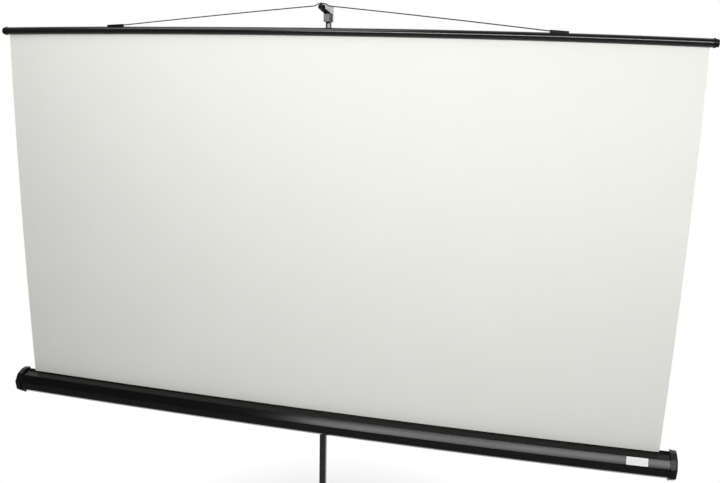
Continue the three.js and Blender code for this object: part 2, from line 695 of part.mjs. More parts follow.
// Grip on the back of the case, with room for four fingers
function carryHandle() {
  const [half, hole] = [HANDLE_LENGTH / 2, HANDLE_LENGTH / 2 - HANDLE_POST];
  const [root, reach] = [CASE_FLATS / 2 + GAP, CASE_FLATS / 2 + GAP + HANDLE_REACH];
  const round = HANDLE_POST / 2;
  const arch = new THREE.Shape();
  arch.moveTo(half, root);
  arch.absarc(half - round, reach - round, round, 0, Math.PI / 2);
  arch.absarc(-half + round, reach - round, round, Math.PI / 2, Math.PI);
  arch.lineTo(-half, root);
  arch.lineTo(-hole, root);
  arch.lineTo(-hole, reach - HANDLE_BAR);
  arch.lineTo(hole, reach - HANDLE_BAR);
  arch.lineTo(hole, root);
  return prismZ(arch, -HANDLE_WIDTH / 2, HANDLE_WIDTH / 2, WIRE_STEPS).translate(HANDLE_CENTRE, 0, 0);
}

// Sleeve on the pole, pivot stud, washer, saddle that holds the case and the sprung lock lever.
// The frame is the case's own, so the pole's axis is at poleY.
function buildSlider() {
  const group = new THREE.Group();
  const poleY = -ROLLER_Y;
  const sleeveWidth = POLE_WIDTH + 2 * SLIDE_GAP + 2 * SLIDER_WALL;
  const outer = octagon(CASE_FLATS + 2 * GAP, CASE_TILT);
  const saddleBack = outer[4][0] + SADDLE_BACK;
  const bossFront = saddleBack + GAP + WASHER_THICK + GAP;
  const leverY = poleY + sleeveWidth / 2 + LEVER_STANDOFF;
  const leverZ = -LEVER_BELOW_CASE;
  const earHalf = LEVER_WIDTH / 2 + SLIDE_GAP;
  const earPlate = capsule([poleY, leverZ], [leverY, leverZ], LEVER_THICK / 2);
  const pinHole = rodX(LEVER_PIN_DIAMETER / 2 + GAP, -earHalf - EAR_THICK / 2, earHalf + EAR_THICK / 2);
  const sleeve = cut(
    join(
      squareBore(sleeveWidth, POLE_CORNER, -SLIDER_BELOW, SLIDER_ABOVE).translate(0, poleY, 0),
      rodY(SLIDER_BOSS_DIAMETER / 2, bossFront, poleY, ROUND),
      prismX(earPlate, -earHalf - EAR_THICK, -earHalf),
      prismX(earPlate, earHalf, earHalf + EAR_THICK),
    ),
    squareBore(POLE_WIDTH + 2 * SLIDE_GAP, POLE_CORNER, -SLIDER_BELOW - CUT_MARGIN, SLIDER_ABOVE + CUT_MARGIN)
      .translate(0, poleY, 0),
    rodY(STUD_DIAMETER / 2 + GAP, bossFront - CUT_MARGIN, bossFront + STUD_IN_BOSS + GAP),
    pinHole.translate(0, leverY, leverZ),
  );
  add(group, "slider_sleeve", sleeve, mouldedBlack);
  const stud = rodY(STUD_DIAMETER / 2, saddleBack - STUD_IN_SADDLE, bossFront + STUD_IN_BOSS);
  add(group, "pivot_stud", stud, zincSteel);
  const washer = cut(
    rodY(WASHER_DIAMETER / 2, saddleBack + GAP, saddleBack + GAP + WASHER_THICK, ROUND),
    rodY(STUD_DIAMETER / 2 + GAP, saddleBack - CUT_MARGIN, bossFront + CUT_MARGIN),
  );
  add(group, "pivot_washer", washer, zincSteel);
  const saddleTop = between(outer[3], outer[2], SADDLE_TOP_SHARE);
  const saddleFoot = between(outer[4], outer[5], SADDLE_FOOT_SHARE);
  const saddleSection = polygon([
    [saddleBack, saddleTop[1]],
    saddleTop,
    outer[3],
    outer[4],
    saddleFoot,
    [saddleBack, saddleFoot[1]],
  ]);
  const saddle = cut(
    prismX(saddleSection, -SADDLE_LENGTH / 2, SADDLE_LENGTH / 2),
    rodY(STUD_DIAMETER / 2 + GAP, saddleBack - STUD_IN_SADDLE - GAP, saddleBack + CUT_MARGIN),
  );
  add(group, "case_saddle", saddle, zincSteel);
  const lever = withHoles(
    capsule([leverY, leverZ], [leverY + LEVER_SLANT, leverZ - LEVER_LENGTH], LEVER_THICK / 2),
    circle(LEVER_PIN_DIAMETER / 2 + GAP, leverY, leverZ),
  );
  add(group, "lock_lever", prismX(lever, -LEVER_WIDTH / 2, LEVER_WIDTH / 2, SMALL_ROUND), zincSteel);
  const pinHalf = earHalf + EAR_THICK / 2 - GAP;
  const pin = rodX(LEVER_PIN_DIAMETER / 2, -pinHalf, pinHalf).translate(0, leverY, leverZ);
  add(group, "lever_pin", pin, zincSteel);
  return group;
}

// Line of the torsion spring round its rod
class SpringLine extends THREE.Curve {
  getPoint(share, target = new THREE.Vector3()) {
    const angle = share * SPRING_TURNS * Math.PI * 2;
    const radius = SPRING_ROD_DIAMETER / 2 + SPRING_AIR + SPRING_WIRE / 2;
    const start = FABRIC_WIDTH / 2 - SPRING_INSET;
    return target.set(
      start - share * SPRING_TURNS * SPRING_PITCH,
      radius * Math.cos(angle),
      radius * Math.sin(angle),
    );
  }
}

function buildRoller() {
  const group = new THREE.Group();
  const half = FABRIC_WIDTH / 2 + ROLLER_OVERHANG;
  const inner = ROLLER_DIAMETER / 2 - ROLLER_WALL;
  const tube = withHoles(circle(ROLLER_DIAMETER / 2), circle(inner));
  add(group, "roller_tube", prismX(tube, -half, half, ROUND), zincSteel);
  const turns = withHoles(circle(WOUND_DIAMETER / 2), circle(ROLLER_DIAMETER / 2 + GAP));
  add(group, "wound_fabric", prismX(turns, -FABRIC_WIDTH / 2, FABRIC_WIDTH / 2, ROUND), whiteFabric);
  const bracketAt = CASE_HALF - BRACKET_INSET;
  const plugEnd = half + GAP + PLUG_FLANGE;
  for (const [name, side] of SIDES) {
    const bore = (side > 0 ? SPRING_ROD_DIAMETER : ROLLER_PIN_DIAMETER) / 2 + GAP;
    const plug = cut(
      join(
        rodX(ROLLER_DIAMETER / 2, half + GAP, plugEnd, ROUND),
        rodX(inner - GAP, half - PLUG_SPIGOT, half + GAP + PLUG_FLANGE / 2, ROUND),
      ),
      rodX(bore, half - PLUG_SPIGOT - CUT_MARGIN, plugEnd + CUT_MARGIN),
    );
    add(group, `roller_plug_${name}`, handed(plug, side), mouldedBlack);
  }
  const pinEnd = bracketAt + CUT_MARGIN;
  add(group, "idle_pin", rodX(ROLLER_PIN_DIAMETER / 2, -pinEnd, -half + PLUG_SPIGOT / 2), zincSteel);
  add(group, "spring_rod", rodX(SPRING_ROD_DIAMETER / 2, pinEnd - SPRING_ROD_LENGTH, pinEnd), zincSteel);
  const spring = new THREE.ExtrudeGeometry(circle(SPRING_WIRE / 2), {
    steps: SPRING_TURNS * SPRING_STEPS,
    extrudePath: new SpringLine(),
    curveSegments: WIRE_STEPS,
  });
  add(group, "torsion_spring", spring, zincSteel);
  return group;
}

function buildFabric() {
  const group = new THREE.Group();
  const sheet = box(
    [-FABRIC_WIDTH / 2, FABRIC_Y - FABRIC_THICK / 2, CASE_HEIGHT],
    [FABRIC_WIDTH / 2, FABRIC_Y + FABRIC_THICK / 2, FABRIC_TOP],
  );
  add(group, "screen_fabric", sheet, whiteFabric);
  return group;
}

// Round tube with a slot along its underside, as y and z about its axis
function slottedRing(outside, inside, slot) {
  const shape = new THREE.Shape();
  const [outer, inner] = [Math.asin(slot / 2 / outside), Math.asin(slot / 2 / inside)];
  const down = -Math.PI / 2;
  shape.absarc(0, 0, outside, down + outer, down + Math.PI * 2 - outer, false);
  shape.absarc(0, 0, inside, down + Math.PI * 2 - inner, down + inner, true);
  return shape;
}

function buildBatten() {
  const group = new THREE.Group();
  group.position.set(0, FABRIC_Y, BATTEN_Z);
  const radius = BATTEN_DIAMETER / 2;
  const bore = radius - BATTEN_WALL;
  const tube = prismX(slottedRing(radius, bore, BATTEN_SLOT), -BATTEN_HALF, BATTEN_HALF, ROUND);
  add(group, "batten_tube", tube, tubeBlack);

  const [r, slit] = [SPLINE_DIAMETER / 2, SPLINE_SLIT / 2];
  const mouth = Math.asin(slit / r);
  const spline = new THREE.Shape();
  spline.absarc(0, 0, r, -Math.PI / 2 + mouth, Math.PI * 3 / 2 - mouth, false);
  spline.lineTo(-slit, SPLINE_ROOT);
  spline.lineTo(slit, SPLINE_ROOT);
  const splineHalf = FABRIC_WIDTH / 2;
  const rod = prismX(spline, -splineHalf, splineHalf, SMALL_ROUND).translate(0, 0, SPLINE_Z - BATTEN_Z);
  add(group, "fabric_spline", rod, greyPlastic);

  const rim = radius + BATTEN_CAP_RIM;
  const ringStart = BATTEN_HALF - BATTEN_CAP_RING;
  const domeEnd = BATTEN_HALF + BATTEN_CAP_DOME;
  const neck = radius - BATTEN_CAP_STEP;
  const edge = new THREE.EllipseCurve(
    neck - BATTEN_CAP_ROUND,
    domeEnd - BATTEN_CAP_ROUND,
    BATTEN_CAP_ROUND,
    BATTEN_CAP_ROUND,
    0,
    Math.PI / 2,
  );
  const cap = cut(
    new THREE.LatheGeometry([
      new THREE.Vector2(0, ringStart),
      new THREE.Vector2(rim, ringStart),
      new THREE.Vector2(rim, BATTEN_HALF + BATTEN_CAP_LIP),
      new THREE.Vector2(neck, BATTEN_HALF + BATTEN_CAP_LIP),
      ...edge.getPoints(WIRE_STEPS),
      new THREE.Vector2(0, domeEnd),
    ], LATHE_SIDES).rotateZ(-Math.PI / 2),
    rodX(radius + GAP, ringStart - CUT_MARGIN, BATTEN_HALF + GAP, ROUND),
  );
  for (const [name, side] of SIDES) {
    add(group, `batten_cap_${name}`, handed(cap, side), mouldedBlack);
    add(group, `bail_clip_${name}`, handed(bailClip(), side), mouldedBlack);
  }
  add(group, "bail_wire", bailWire(), zincSteel);
  return group;
}

// Clip that grips the top of the batten, wedge-shaped at its outer end, bored for the wire's end
function bailClip() {
  const radius = BATTEN_DIAMETER / 2;
  const [inEnd, outEnd] = [BAIL_SPREAD - CLIP_LENGTH / 2, BAIL_SPREAD + CLIP_LENGTH / 2];
  const low = radius - CLIP_GRIP;
  const side = polygon([
    [inEnd, low],
    [outEnd, low],
    [outEnd, radius + CLIP_TOE],
    [outEnd - CLIP_WEDGE, radius + CLIP_HEIGHT],
    [inEnd, radius + CLIP_HEIGHT],
  ]);
  const holeZ = BAIL_Z - BATTEN_Z;
  return cut(
    prismY(side, -CLIP_WIDTH / 2, CLIP_WIDTH / 2),
    rodX(radius + GAP, inEnd - CUT_MARGIN, outEnd + CUT_MARGIN, ROUND),
    rodX(BAIL_WIRE / 2 + GAP, inEnd - CUT_MARGIN, BAIL_SPREAD + GAP).translate(0, 0, holeZ),
  );
}

// Wire from clip to clip: level in each clip, straight up to the middle, humped over the gooseneck
function bailWire() {
  const [low, high] = [BAIL_Z - BATTEN_Z, BAIL_TOP - BATTEN_Z];
  const bend = BAIL_SPREAD - CLIP_LENGTH / 2 - CLIP_TO_BEND;
  const foot = high - BAIL_HUMP_RISE;
  const right = [
    [BAIL_HUMP_HALF, high],
    [BAIL_HUMP_FOOT, foot],
    [bend, low],
    [BAIL_SPREAD, low],
  ];
  const left = right.map(([x, z]) => [-x, z]).reverse();
  const corners = [...left, ...right].map(([x, z]) => new THREE.Vector3(x, 0, z));
  const path = new THREE.CurvePath();
  let from = corners[0];
  for (let i = 1; i < corners.length - 1; i += 1) {
    const back = corners[i - 1].clone().sub(corners[i]).setLength(BAIL_BEND).add(corners[i]);
    const on = corners[i + 1].clone().sub(corners[i]).setLength(BAIL_BEND).add(corners[i]);
    path.add(new THREE.LineCurve3(from, back));
    path.add(new THREE.QuadraticBezierCurve3(back, corners[i], on));
    from = on;
  }
  path.add(new THREE.LineCurve3(from, corners.at(-1)));
  return new THREE.ExtrudeGeometry(circle(BAIL_WIRE / 2), {
    steps: BAIL_STEPS,
    extrudePath: path,
    curveSegments: WIRE_STEPS,
  });
}

const screen = new THREE.Group();
screen.add(buildTripod(), buildMast(), buildCase(), buildFabric(), buildBatten());

// The origin is on the floor, in the middle of the outer size
const outer = new THREE.Box3().setFromObject(screen);
screen.position.y = -(outer.min.y + outer.max.y) / 2;

export default screen;
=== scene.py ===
"""Looks of a tripod projection screen, made around its construction frame.

Metres. +X is to the viewer's right, the fabric faces -Y and +Z is up from the floor.
"""

from __future__ import annotations

import json
import logging
import math
from dataclasses import dataclass, field
from enum import Enum
from typing import Iterable, NamedTuple, Sequence, Union

import bmesh
import bpy
from mathutils import Matrix, Vector


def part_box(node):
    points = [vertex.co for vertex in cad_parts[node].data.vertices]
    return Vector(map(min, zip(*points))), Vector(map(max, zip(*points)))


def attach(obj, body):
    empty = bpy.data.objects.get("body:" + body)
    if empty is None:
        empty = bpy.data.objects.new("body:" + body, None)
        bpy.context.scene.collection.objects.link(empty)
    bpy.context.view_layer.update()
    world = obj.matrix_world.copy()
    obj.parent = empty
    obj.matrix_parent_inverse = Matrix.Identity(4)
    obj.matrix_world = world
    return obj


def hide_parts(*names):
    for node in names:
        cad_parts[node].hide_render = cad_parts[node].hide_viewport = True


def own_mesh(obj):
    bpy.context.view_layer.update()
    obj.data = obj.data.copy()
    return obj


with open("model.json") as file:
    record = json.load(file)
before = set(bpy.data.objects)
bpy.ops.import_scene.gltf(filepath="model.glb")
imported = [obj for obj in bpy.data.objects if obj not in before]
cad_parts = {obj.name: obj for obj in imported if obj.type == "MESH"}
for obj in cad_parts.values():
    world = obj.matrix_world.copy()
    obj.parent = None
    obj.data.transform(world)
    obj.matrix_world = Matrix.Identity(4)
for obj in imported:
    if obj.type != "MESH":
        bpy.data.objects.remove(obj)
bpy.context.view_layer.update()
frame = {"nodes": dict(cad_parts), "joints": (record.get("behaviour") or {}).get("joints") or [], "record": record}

Point2 = tuple[float, float]
Point3 = tuple[float, float, float]
Colour = tuple[float, float, float]
Stops = Sequence[Point2]

log = logging.getLogger("projection_screen")

RECORD = frame["record"]
BODY_OF = {node: body for body, nodes in RECORD["behaviour"]["bodies"].items() for node in nodes}
SLOT_OF = {row["node"]: row["material_slot"] for row in RECORD["subparts"]}
JOINT_OF = {joint["name"]: joint for joint in frame["joints"]}

# Room between pieces that lie against each other.
GAP = 0.0003
# Edges that bend less than the first angle are shaded smooth, and those above the second rounded.
SMOOTH_BELOW = math.radians(38)
SOFTEN_ABOVE = math.radians(50)
# What counts as one face and as one corner when a construction piece is read.
FLAT_WITHIN = math.radians(0.5)
MERGE_WITHIN = 1e-6
# Faces across a rounded edge, and round a small turned piece.
EDGE_STEPS = 3
SMALL_SIDES = 24
# Sockets of the Mix node that its colour mode uses.
MIX_SHARE, MIX_FIRST, MIX_SECOND, MIX_RESULT = 0, 6, 7, 2


class Side(Enum):
    """The two ends of the screen, as the sign of their X."""

    LEFT = -1
    RIGHT = 1

    @property
    def word(self) -> str:
        """The side's name as it stands in a node's name."""
        return self.name.lower()

    @property
    def out(self) -> Vector:
        """The way out of the screen at this end."""
        return Vector((self.value, 0, 0))


class Shade:
    """A socket of a node tree, so that shader maths reads as Python."""

    def __init__(self, graph: Graph, socket: bpy.types.NodeSocket) -> None:
        """Keeps the socket and the graph that it belongs to."""
        self.graph = graph
        self.socket = socket

    def __add__(self, other: Value) -> Shade:
        """Sum of two values."""
        return self.graph.maths("ADD", self, other)

    def __radd__(self, other: Value) -> Shade:
        """Sum with a number on the left."""
        return self.graph.maths("ADD", other, self)

    def __rsub__(self, other: Value) -> Shade:
        """Difference from a number on the left."""
        return self.graph.maths("SUBTRACT", other, self)

    def __mul__(self, other: Value) -> Shade:
        """Product of two values."""
        return self.graph.maths("MULTIPLY", self, other)

    def __or__(self, other: Value) -> Shade:
        """The larger of two masks."""
        return self.graph.maths("MAXIMUM", self, other)

    def sine(self) -> Shade:
        """Sine of the value, in radians."""
        return self.graph.maths("SINE", self)


Value = Union[Shade, float]


class Graph:
    """The nodes of one material or world, and the one method that adds any of them."""

    def __init__(self, tree: bpy.types.NodeTree) -> None:
        """Empties the tree, so that only the nodes added here are in it."""
        self.tree = tree
        tree.nodes.clear()

    def node(
        self,
        kind: str,
        settings: dict[str, object] | None = None,
        sockets: dict[str | int, object] | None = None,
        output: str | int = 0,
    ) -> Shade | None:
        """Adds a node.

        Args:
            kind: the node's type name.
            settings: its properties, set first; stops are a ramp's places and grey levels.
            sockets: a value or a link for each input that differs from its default.
            output: the output that is handed back.

        Returns:
            The chosen output, or None from a node without outputs.
        """
        made = self.tree.nodes.new(kind)
        for name, value in (settings or {}).items():
            if name == "stops":
                self._stops(made.color_ramp, value)
            else:
                setattr(made, name, value)
        for name, value in (sockets or {}).items():
            socket = made.inputs[name]
            if isinstance(value, Shade):
                self.tree.links.new(value.socket, socket)
            elif socket.type == "RGBA":
                socket.default_value = (*value, 1.0)
            else:
                socket.default_value = value
        return Shade(self, made.outputs[output]) if made.outputs else None

    @staticmethod
    def _stops(ramp: bpy.types.ColorRamp, stops: Stops) -> None:
        """Sets a ramp's places and grey levels."""
        while len(ramp.elements) < len(stops):
            ramp.elements.new(1.0)
        for element, (place, level) in zip(ramp.elements, stops):
            element.position = place
            element.color = (level, level, level, 1.0)

    def maths(self, operation: str, *values: Value) -> Shade:
        """Adds a Math node for an operation on one or two values."""
        return self.node("ShaderNodeMath", {"operation": operation}, dict(enumerate(values)))

    def mix(self, share: Value, first: object, second: object) -> Shade:
        """Mixes two colours, the second by its share."""
        sockets = {MIX_SHARE: share, MIX_FIRST: first, MIX_SECOND: second}
        return self.node("ShaderNodeMix", {"data_type": "RGBA"}, sockets, MIX_RESULT)

    def place(self) -> Shade:
        """A point's place on the piece, in metres."""
        return self.node("ShaderNodeTexCoord", output="Object")

    def stretched(self, place: Shade, scale: Point3) -> Shade:
        """A place scaled by a different number along each axis."""
        return self.node("ShaderNodeVectorMath", {"operation": "MULTIPLY"}, {0: place, 1: scale})

    def noise(self, place: Shade, grain: float, detail: float = 2.0) -> Shade:
        """Soft noise whose lumps are about one grain wide, in metres."""
        sockets = {"Vector": place, "Scale": 1 / grain, "Detail": detail}
        return self.node("ShaderNodeTexNoise", None, sockets)

    def ramp(self, value: Shade, stops: Stops) -> Shade:
        """A value carried through a grey ramp."""
        return self.node("ShaderNodeValToRGB", {"stops": stops}, {0: value})

    def bump(self, height: Shade, strength: float, distance: float) -> Shade:
        """A normal tilted by a height."""
        sockets = {"Height": height, "Strength": strength, "Distance": distance}
        return self.node("ShaderNodeBump", None, sockets)

    def surface(self, sockets: dict[str | int, object]) -> None:
        """Ends a material in one Principled shader with these inputs."""
        shader = self.node("ShaderNodeBsdfPrincipled", None, sockets)
        self.node("ShaderNodeOutputMaterial", None, {"Surface": shader})


@dataclass(frozen=True)
class Finish:
    """What every finish has: a name, a colour and how rough it is."""

    name: str
    color: Colour
    roughness: float

    def material(self) -> bpy.types.Material:
        """The finish's material, made the first time it is asked for."""
        made = bpy.data.materials.get(self.name)
        if made is None:
            made = bpy.data.materials.new(self.name)
            made.use_nodes = True
            self.paint(Graph(made.node_tree))
        return made

    def paint(self, graph: Graph) -> None:
        """Adds the finish's nodes."""
        raise NotImplementedError


@dataclass(frozen=True)
class CoatedCloth(Finish):
    """Woven cloth with a matte coat: crossing threads, and large faint clouds of tone."""

    clouded: Colour
    thread: float = 0.0007
    cloud: float = 0.22
    cloud_stops: Stops = ((0.35, 0.0), (0.75, 1.0))
    slub: Point3 = (12.0, 1.0, 400.0)
    slub_share: float = 0.4
    weave_rough: float = 0.04
    shine: float = 0.2
    relief: float = 0.12
    depth: float = 0.0001

    def paint(self, graph: Graph) -> None:
        """Adds the finish's nodes."""
        place = graph.place()
        split = {"Vector": place}
        turn = 2 * math.pi / self.thread
        warp = (graph.node("ShaderNodeSeparateXYZ", None, split, "X") * turn).sine()
        weft = (graph.node("ShaderNodeSeparateXYZ", None, split, "Z") * turn).sine()
        weave = warp * weft * 0.5 + 0.5
        clouds = graph.ramp(graph.noise(place, self.cloud, detail=3.0), self.cloud_stops)
        slub = graph.noise(graph.stretched(place, self.slub), 1.0)
        graph.surface({
            "Base Color": graph.mix(clouds, self.color, self.clouded),
            "Roughness": self.roughness + weave * self.weave_rough,
            "Specular IOR Level": self.shine,
            "Normal": graph.bump(weave + slub * self.slub_share, self.relief, self.depth),
        })


@dataclass(frozen=True)
class SprayedCoat(Finish):
    """Sprayed or powder coat on metal: orange peel, smears from handling and a little dust."""

    dusty: float
    shine: float
    dust: Colour = (0.12, 0.12, 0.115)
    smear: float = 0.16
    smear_run: Point3 = (0.35, 1.0, 1.0)
    smear_stops: Stops = ((0.4, 0.15), (0.7, 1.0))
    smear_rough: float = 0.14
    dimple: float = 0.0016
    speck_dimples: float = 3.0
    speck_stops: Stops = ((0.6, 0.0), (0.72, 1.0))
    speck_rough: float = 0.05
    relief: float = 0.06
    depth: float = 0.0002

    def paint(self, graph: Graph) -> None:
        """Adds the finish's nodes."""
        place = graph.place()
        smears = graph.noise(graph.stretched(place, self.smear_run), self.smear, detail=5.0)
        flecks = graph.noise(place, self.dimple * self.speck_dimples, detail=6.0)
        specks = graph.ramp(flecks, self.speck_stops)
        settled = graph.ramp(smears, self.smear_stops)
        least = self.roughness - self.smear_rough / 2
        graph.surface({
            "Base Color": graph.mix(specks * settled * self.dusty, self.color, self.dust),
            "Roughness": least + smears * self.smear_rough + specks * self.speck_rough,
            "Specular IOR Level": self.shine,
            "Normal": graph.bump(graph.noise(place, self.dimple), self.relief, self.depth),
        })


@dataclass(frozen=True)
class Moulding(Finish):
    """Moulded plastic, rubber or film: a fine even grain, with rubbed patches a little smoother."""

    rubbed: Colour
    relief: float = 0.2
    shine: float = 0.4
    grain: float = 0.0006
    grain_rough: float = 0.08
    rub: float = 0.035
    rub_stops: Stops = ((0.45, 0.0), (0.7, 1.0))
    rub_share: float = 0.6
    rub_smooth: float = 0.1
    depth: float = 0.00015

    def paint(self, graph: Graph) -> None:
        """Adds the finish's nodes."""
        place = graph.place()
        grains = graph.noise(place, self.grain, detail=3.0)
        rub = graph.ramp(graph.noise(place, self.rub, detail=4.0), self.rub_stops)
        graph.surface({
            "Base Color": graph.mix(rub * self.rub_share, self.color, self.rubbed),
            "Roughness": self.roughness - rub * self.rub_smooth + grains * self.grain_rough,
            "Specular IOR Level": self.shine,
            "Normal": graph.bump(grains, self.relief, self.depth),
        })


@dataclass(frozen=True)
class PlatedSteel(Finish):
    """Plated or drawn steel: patches of tone, fine lines along the drawing and small stains."""

    tarnish: Colour
    tarnished: float = 0.5
    patch: float = 0.012
    patch_stops: Stops = ((0.42, 0.0), (0.68, 1.0))
    patch_rough: float = 0.12
    lines: Point3 = (40.0, 900.0, 900.0)
    line_rough: float = 0.06
    relief: float = 0.05
    depth: float = 0.0001

    def paint(self, graph: Graph) -> None:
        """Adds the finish's nodes."""
        place = graph.place()
        patches = graph.noise(place, self.patch, detail=4.0)
        drawn = graph.noise(graph.stretched(place, self.lines), 1.0)
        stained = graph.ramp(patches, self.patch_stops)
        least = self.roughness - (self.patch_rough + self.line_rough) / 2
        graph.surface({
            "Base Color": graph.mix(stained * self.tarnished, self.color, self.tarnish),
            "Metallic": 1.0,
            "Roughness": least + patches * self.patch_rough + drawn * self.line_rough,
            "Normal": graph.bump(drawn, self.relief, self.depth),
        })


FINISH_OF: dict[str, Finish] = {
    "white_fabric": CoatedCloth(
        "matte_white_cloth", (0.85, 0.85, 0.81), 0.9, clouded=(0.83, 0.84, 0.79),
    ),
    "case_black": SprayedCoat(
        "satin_black_case", (0.0034, 0.0033, 0.0032), 0.19, dusty=0.1, shine=0.19,
    ),
    "tube_black": SprayedCoat(
        "gloss_black_tube", (0.0034, 0.0034, 0.0034), 0.2, dusty=0.08, shine=0.6,
    ),
    "moulded_black": Moulding(
        "smooth_black_moulding", (0.0045, 0.0045, 0.0046), 0.27,
        rubbed=(0.008, 0.008, 0.0082), relief=0.05, shine=0.2,
    ),
    "grey_plastic": Moulding(
        "grey_moulding", (0.2, 0.21, 0.22), 0.45, rubbed=(0.27, 0.28, 0.29),
    ),
    "zinc_steel": PlatedSteel(
        "zinc_plated_steel", (0.5, 0.51, 0.525), 0.36, tarnish=(0.3, 0.3, 0.295),
    ),
    "bail_steel": PlatedSteel(
        "blackened_bail_wire", (0.045, 0.041, 0.037), 0.4, tarnish=(0.08, 0.068, 0.055),
    ),
    "bare_label": Moulding(
        "bare_white_film", (0.77, 0.77, 0.77), 0.42, rubbed=(0.73, 0.73, 0.72), relief=0.05,
    ),
    "black_rubber": Moulding(
        "ribbed_black_rubber", (0.012, 0.012, 0.012), 0.78, rubbed=(0.03, 0.03, 0.029),
    ),
}
CLOTH_BACKING = CoatedCloth(
    "dark_cloth_backing", (0.02, 0.02, 0.021), 0.8, clouded=(0.028, 0.028, 0.029),
)


class Shell:
    """Corners and faces of one mesh, gathered loop by loop."""

    def __init__(self) -> None:
        """Starts with nothing."""
        self.mesh = bmesh.new()

    def loop(self, points: Iterable[Point3]) -> list[bmesh.types.BMVert]:
        """Adds a loop of corners."""
        return [self.mesh.verts.new(point) for point in points]

    def bridge(self, first: list, second: list, closed: bool = True) -> None:
        """Joins two loops of as many corners with a band of faces."""
        count = len(first)
        for i in range(count if closed else count - 1):
            j = (i + 1) % count
            self.mesh.faces.new((first[i], first[j], second[j], second[i]))

    def fan(self, loop: list, centre: Point3) -> None:
        """Closes a loop with faces that meet at a centre."""
        middle = self.mesh.verts.new(centre)
        for i, corner in enumerate(loop):
            self.mesh.faces.new((corner, loop[(i + 1) % len(loop)], middle))

    def lid(self, loop: list) -> None:
        """Closes a loop with one face."""
        self.mesh.faces.new(loop)

    def loft(self, loops: Sequence[Sequence[Point3]]) -> list[list]:
        """Adds loops of as many corners, from end to end, and the bands between them."""
        made = [self.loop(points) for points in loops]
        for first, second in zip(made, made[1:]):
            self.bridge(first, second)
        return made

    def closed_loft(self, loops: Sequence[Sequence[Point3]]) -> None:
        """Adds loops, the bands between them and a face at each end."""
        made = self.loft(loops)
        self.lid(made[0])
        self.lid(made[-1])

    def soften(self, width: float, steps: int = EDGE_STEPS) -> None:
        """Rounds the sharp edges by a width in metres, in so many faces."""
        sharp = [
            edge for edge in self.mesh.edges
            if edge.is_manifold and edge.calc_face_angle(0.0) > SOFTEN_ABOVE
        ]
        bmesh.ops.bevel(
            self.mesh, geom=sharp, offset=width, offset_type="OFFSET", segments=steps,
            profile=0.5, affect="EDGES", clamp_overlap=False,
        )

    def piece(self, name: str) -> bpy.types.Object:
        """Makes the object, with its faces pointing out and its gentle edges smooth."""
        bmesh.ops.recalc_face_normals(self.mesh, faces=self.mesh.faces)
        data = bpy.data.meshes.new(name)
        self.mesh.to_mesh(data)
        self.mesh.free()
        data.polygons.foreach_set("use_smooth", [True] * len(data.polygons))
        data.set_sharp_from_angle(angle=SMOOTH_BELOW)
        made = bpy.data.objects.new(name, data)
        bpy.context.scene.collection.objects.link(made)
        return made


def around(sides: int) -> list[float]:
    """Angles of a full turn, one for each side."""
    return [2 * math.pi * i / sides for i in range(sides)]


def quarter(steps: int) -> list[float]:
    """Angles from 0 to a right angle, both included."""
    return [math.pi / 2 * i / steps for i in range(steps + 1)]


def arc(centre: Point2, radius: float, start: float, end: float, steps: int) -> list[Point2]:
    """Points along an arc from angle to angle, in radians, both ends included."""
    angles = [start + (end - start) * i / steps for i in range(steps + 1)]
    return [(centre[0] + radius * math.cos(a), centre[1] + radius * math.sin(a)) for a in angles]


def bent(points: Sequence[Point2], radius: float, steps: int, closed: bool = False) -> list[Point2]:
    """A line of points with each corner rounded in so many steps."""
    corners = [Vector(point) for point in points]
    last = len(corners) - 1
    line: list[Point2] = []
    for i, corner in enumerate(corners):
        if not closed and i in (0, last):
            line.append(tuple(corner))
            continue
        back = (corners[i - 1] - corner).normalized()
        on = (corners[(i + 1) % len(corners)] - corner).normalized()
        half = back.angle(on) / 2
        centre = corner + (back + on).normalized() * radius / math.sin(half)
        reach = radius / math.tan(half)
        start, end = corner + back * reach - centre, corner + on * reach - centre
        first = math.atan2(start.y, start.x)
        sweep = (math.atan2(end.y, end.x) - first + math.pi) % (2 * math.pi) - math.pi
        line += arc(tuple(centre), radius, first, first + sweep, steps)
    return line


def heading(line: Sequence[Point2], i: int) -> Vector:
    """The way that a line runs at one of its points."""
    before, after = line[max(i - 1, 0)], line[min(i + 1, len(line) - 1)]
    return (Vector(after) - Vector(before)).normalized()


def two_sides(line: Sequence[Point2], thick: float) -> tuple[list[Point2], list[Point2]]:
    """The two sides of a sheet whose middle follows a line."""
    sides: tuple[list[Point2], list[Point2]] = ([], [])
    for i, point in enumerate(line):
        along = heading(line, i)
        across = Vector((-along.y, along.x)) * thick / 2
        for side, sign in zip(sides, (1, -1)):
            side.append(tuple(Vector(point) + across * sign))
    return sides


def along_x(x: float, outline: Sequence[Point2], axis: Vector) -> list[Point3]:
    """An outline in y and z about an axis, set at an x."""
    return [(x, axis.y + y, axis.z + z) for y, z in outline]


def rolled_sheet(
    name: str, line: Sequence[Point2], thick: float, half: float, axis: Vector,
) -> bpy.types.Object:
    """A sheet whose middle follows a line in y and z about an axis, from -half to half in x."""
    shell = Shell()
    outer, inner = two_sides(line, thick)
    ends = []
    for x in (-half, half):
        first, second = (shell.loop(along_x(x, side, axis)) for side in (outer, inner))
        shell.bridge(first, second, closed=False)
        ends.append(first + second[::-1])
    shell.bridge(*ends)
    return shell.piece(name)


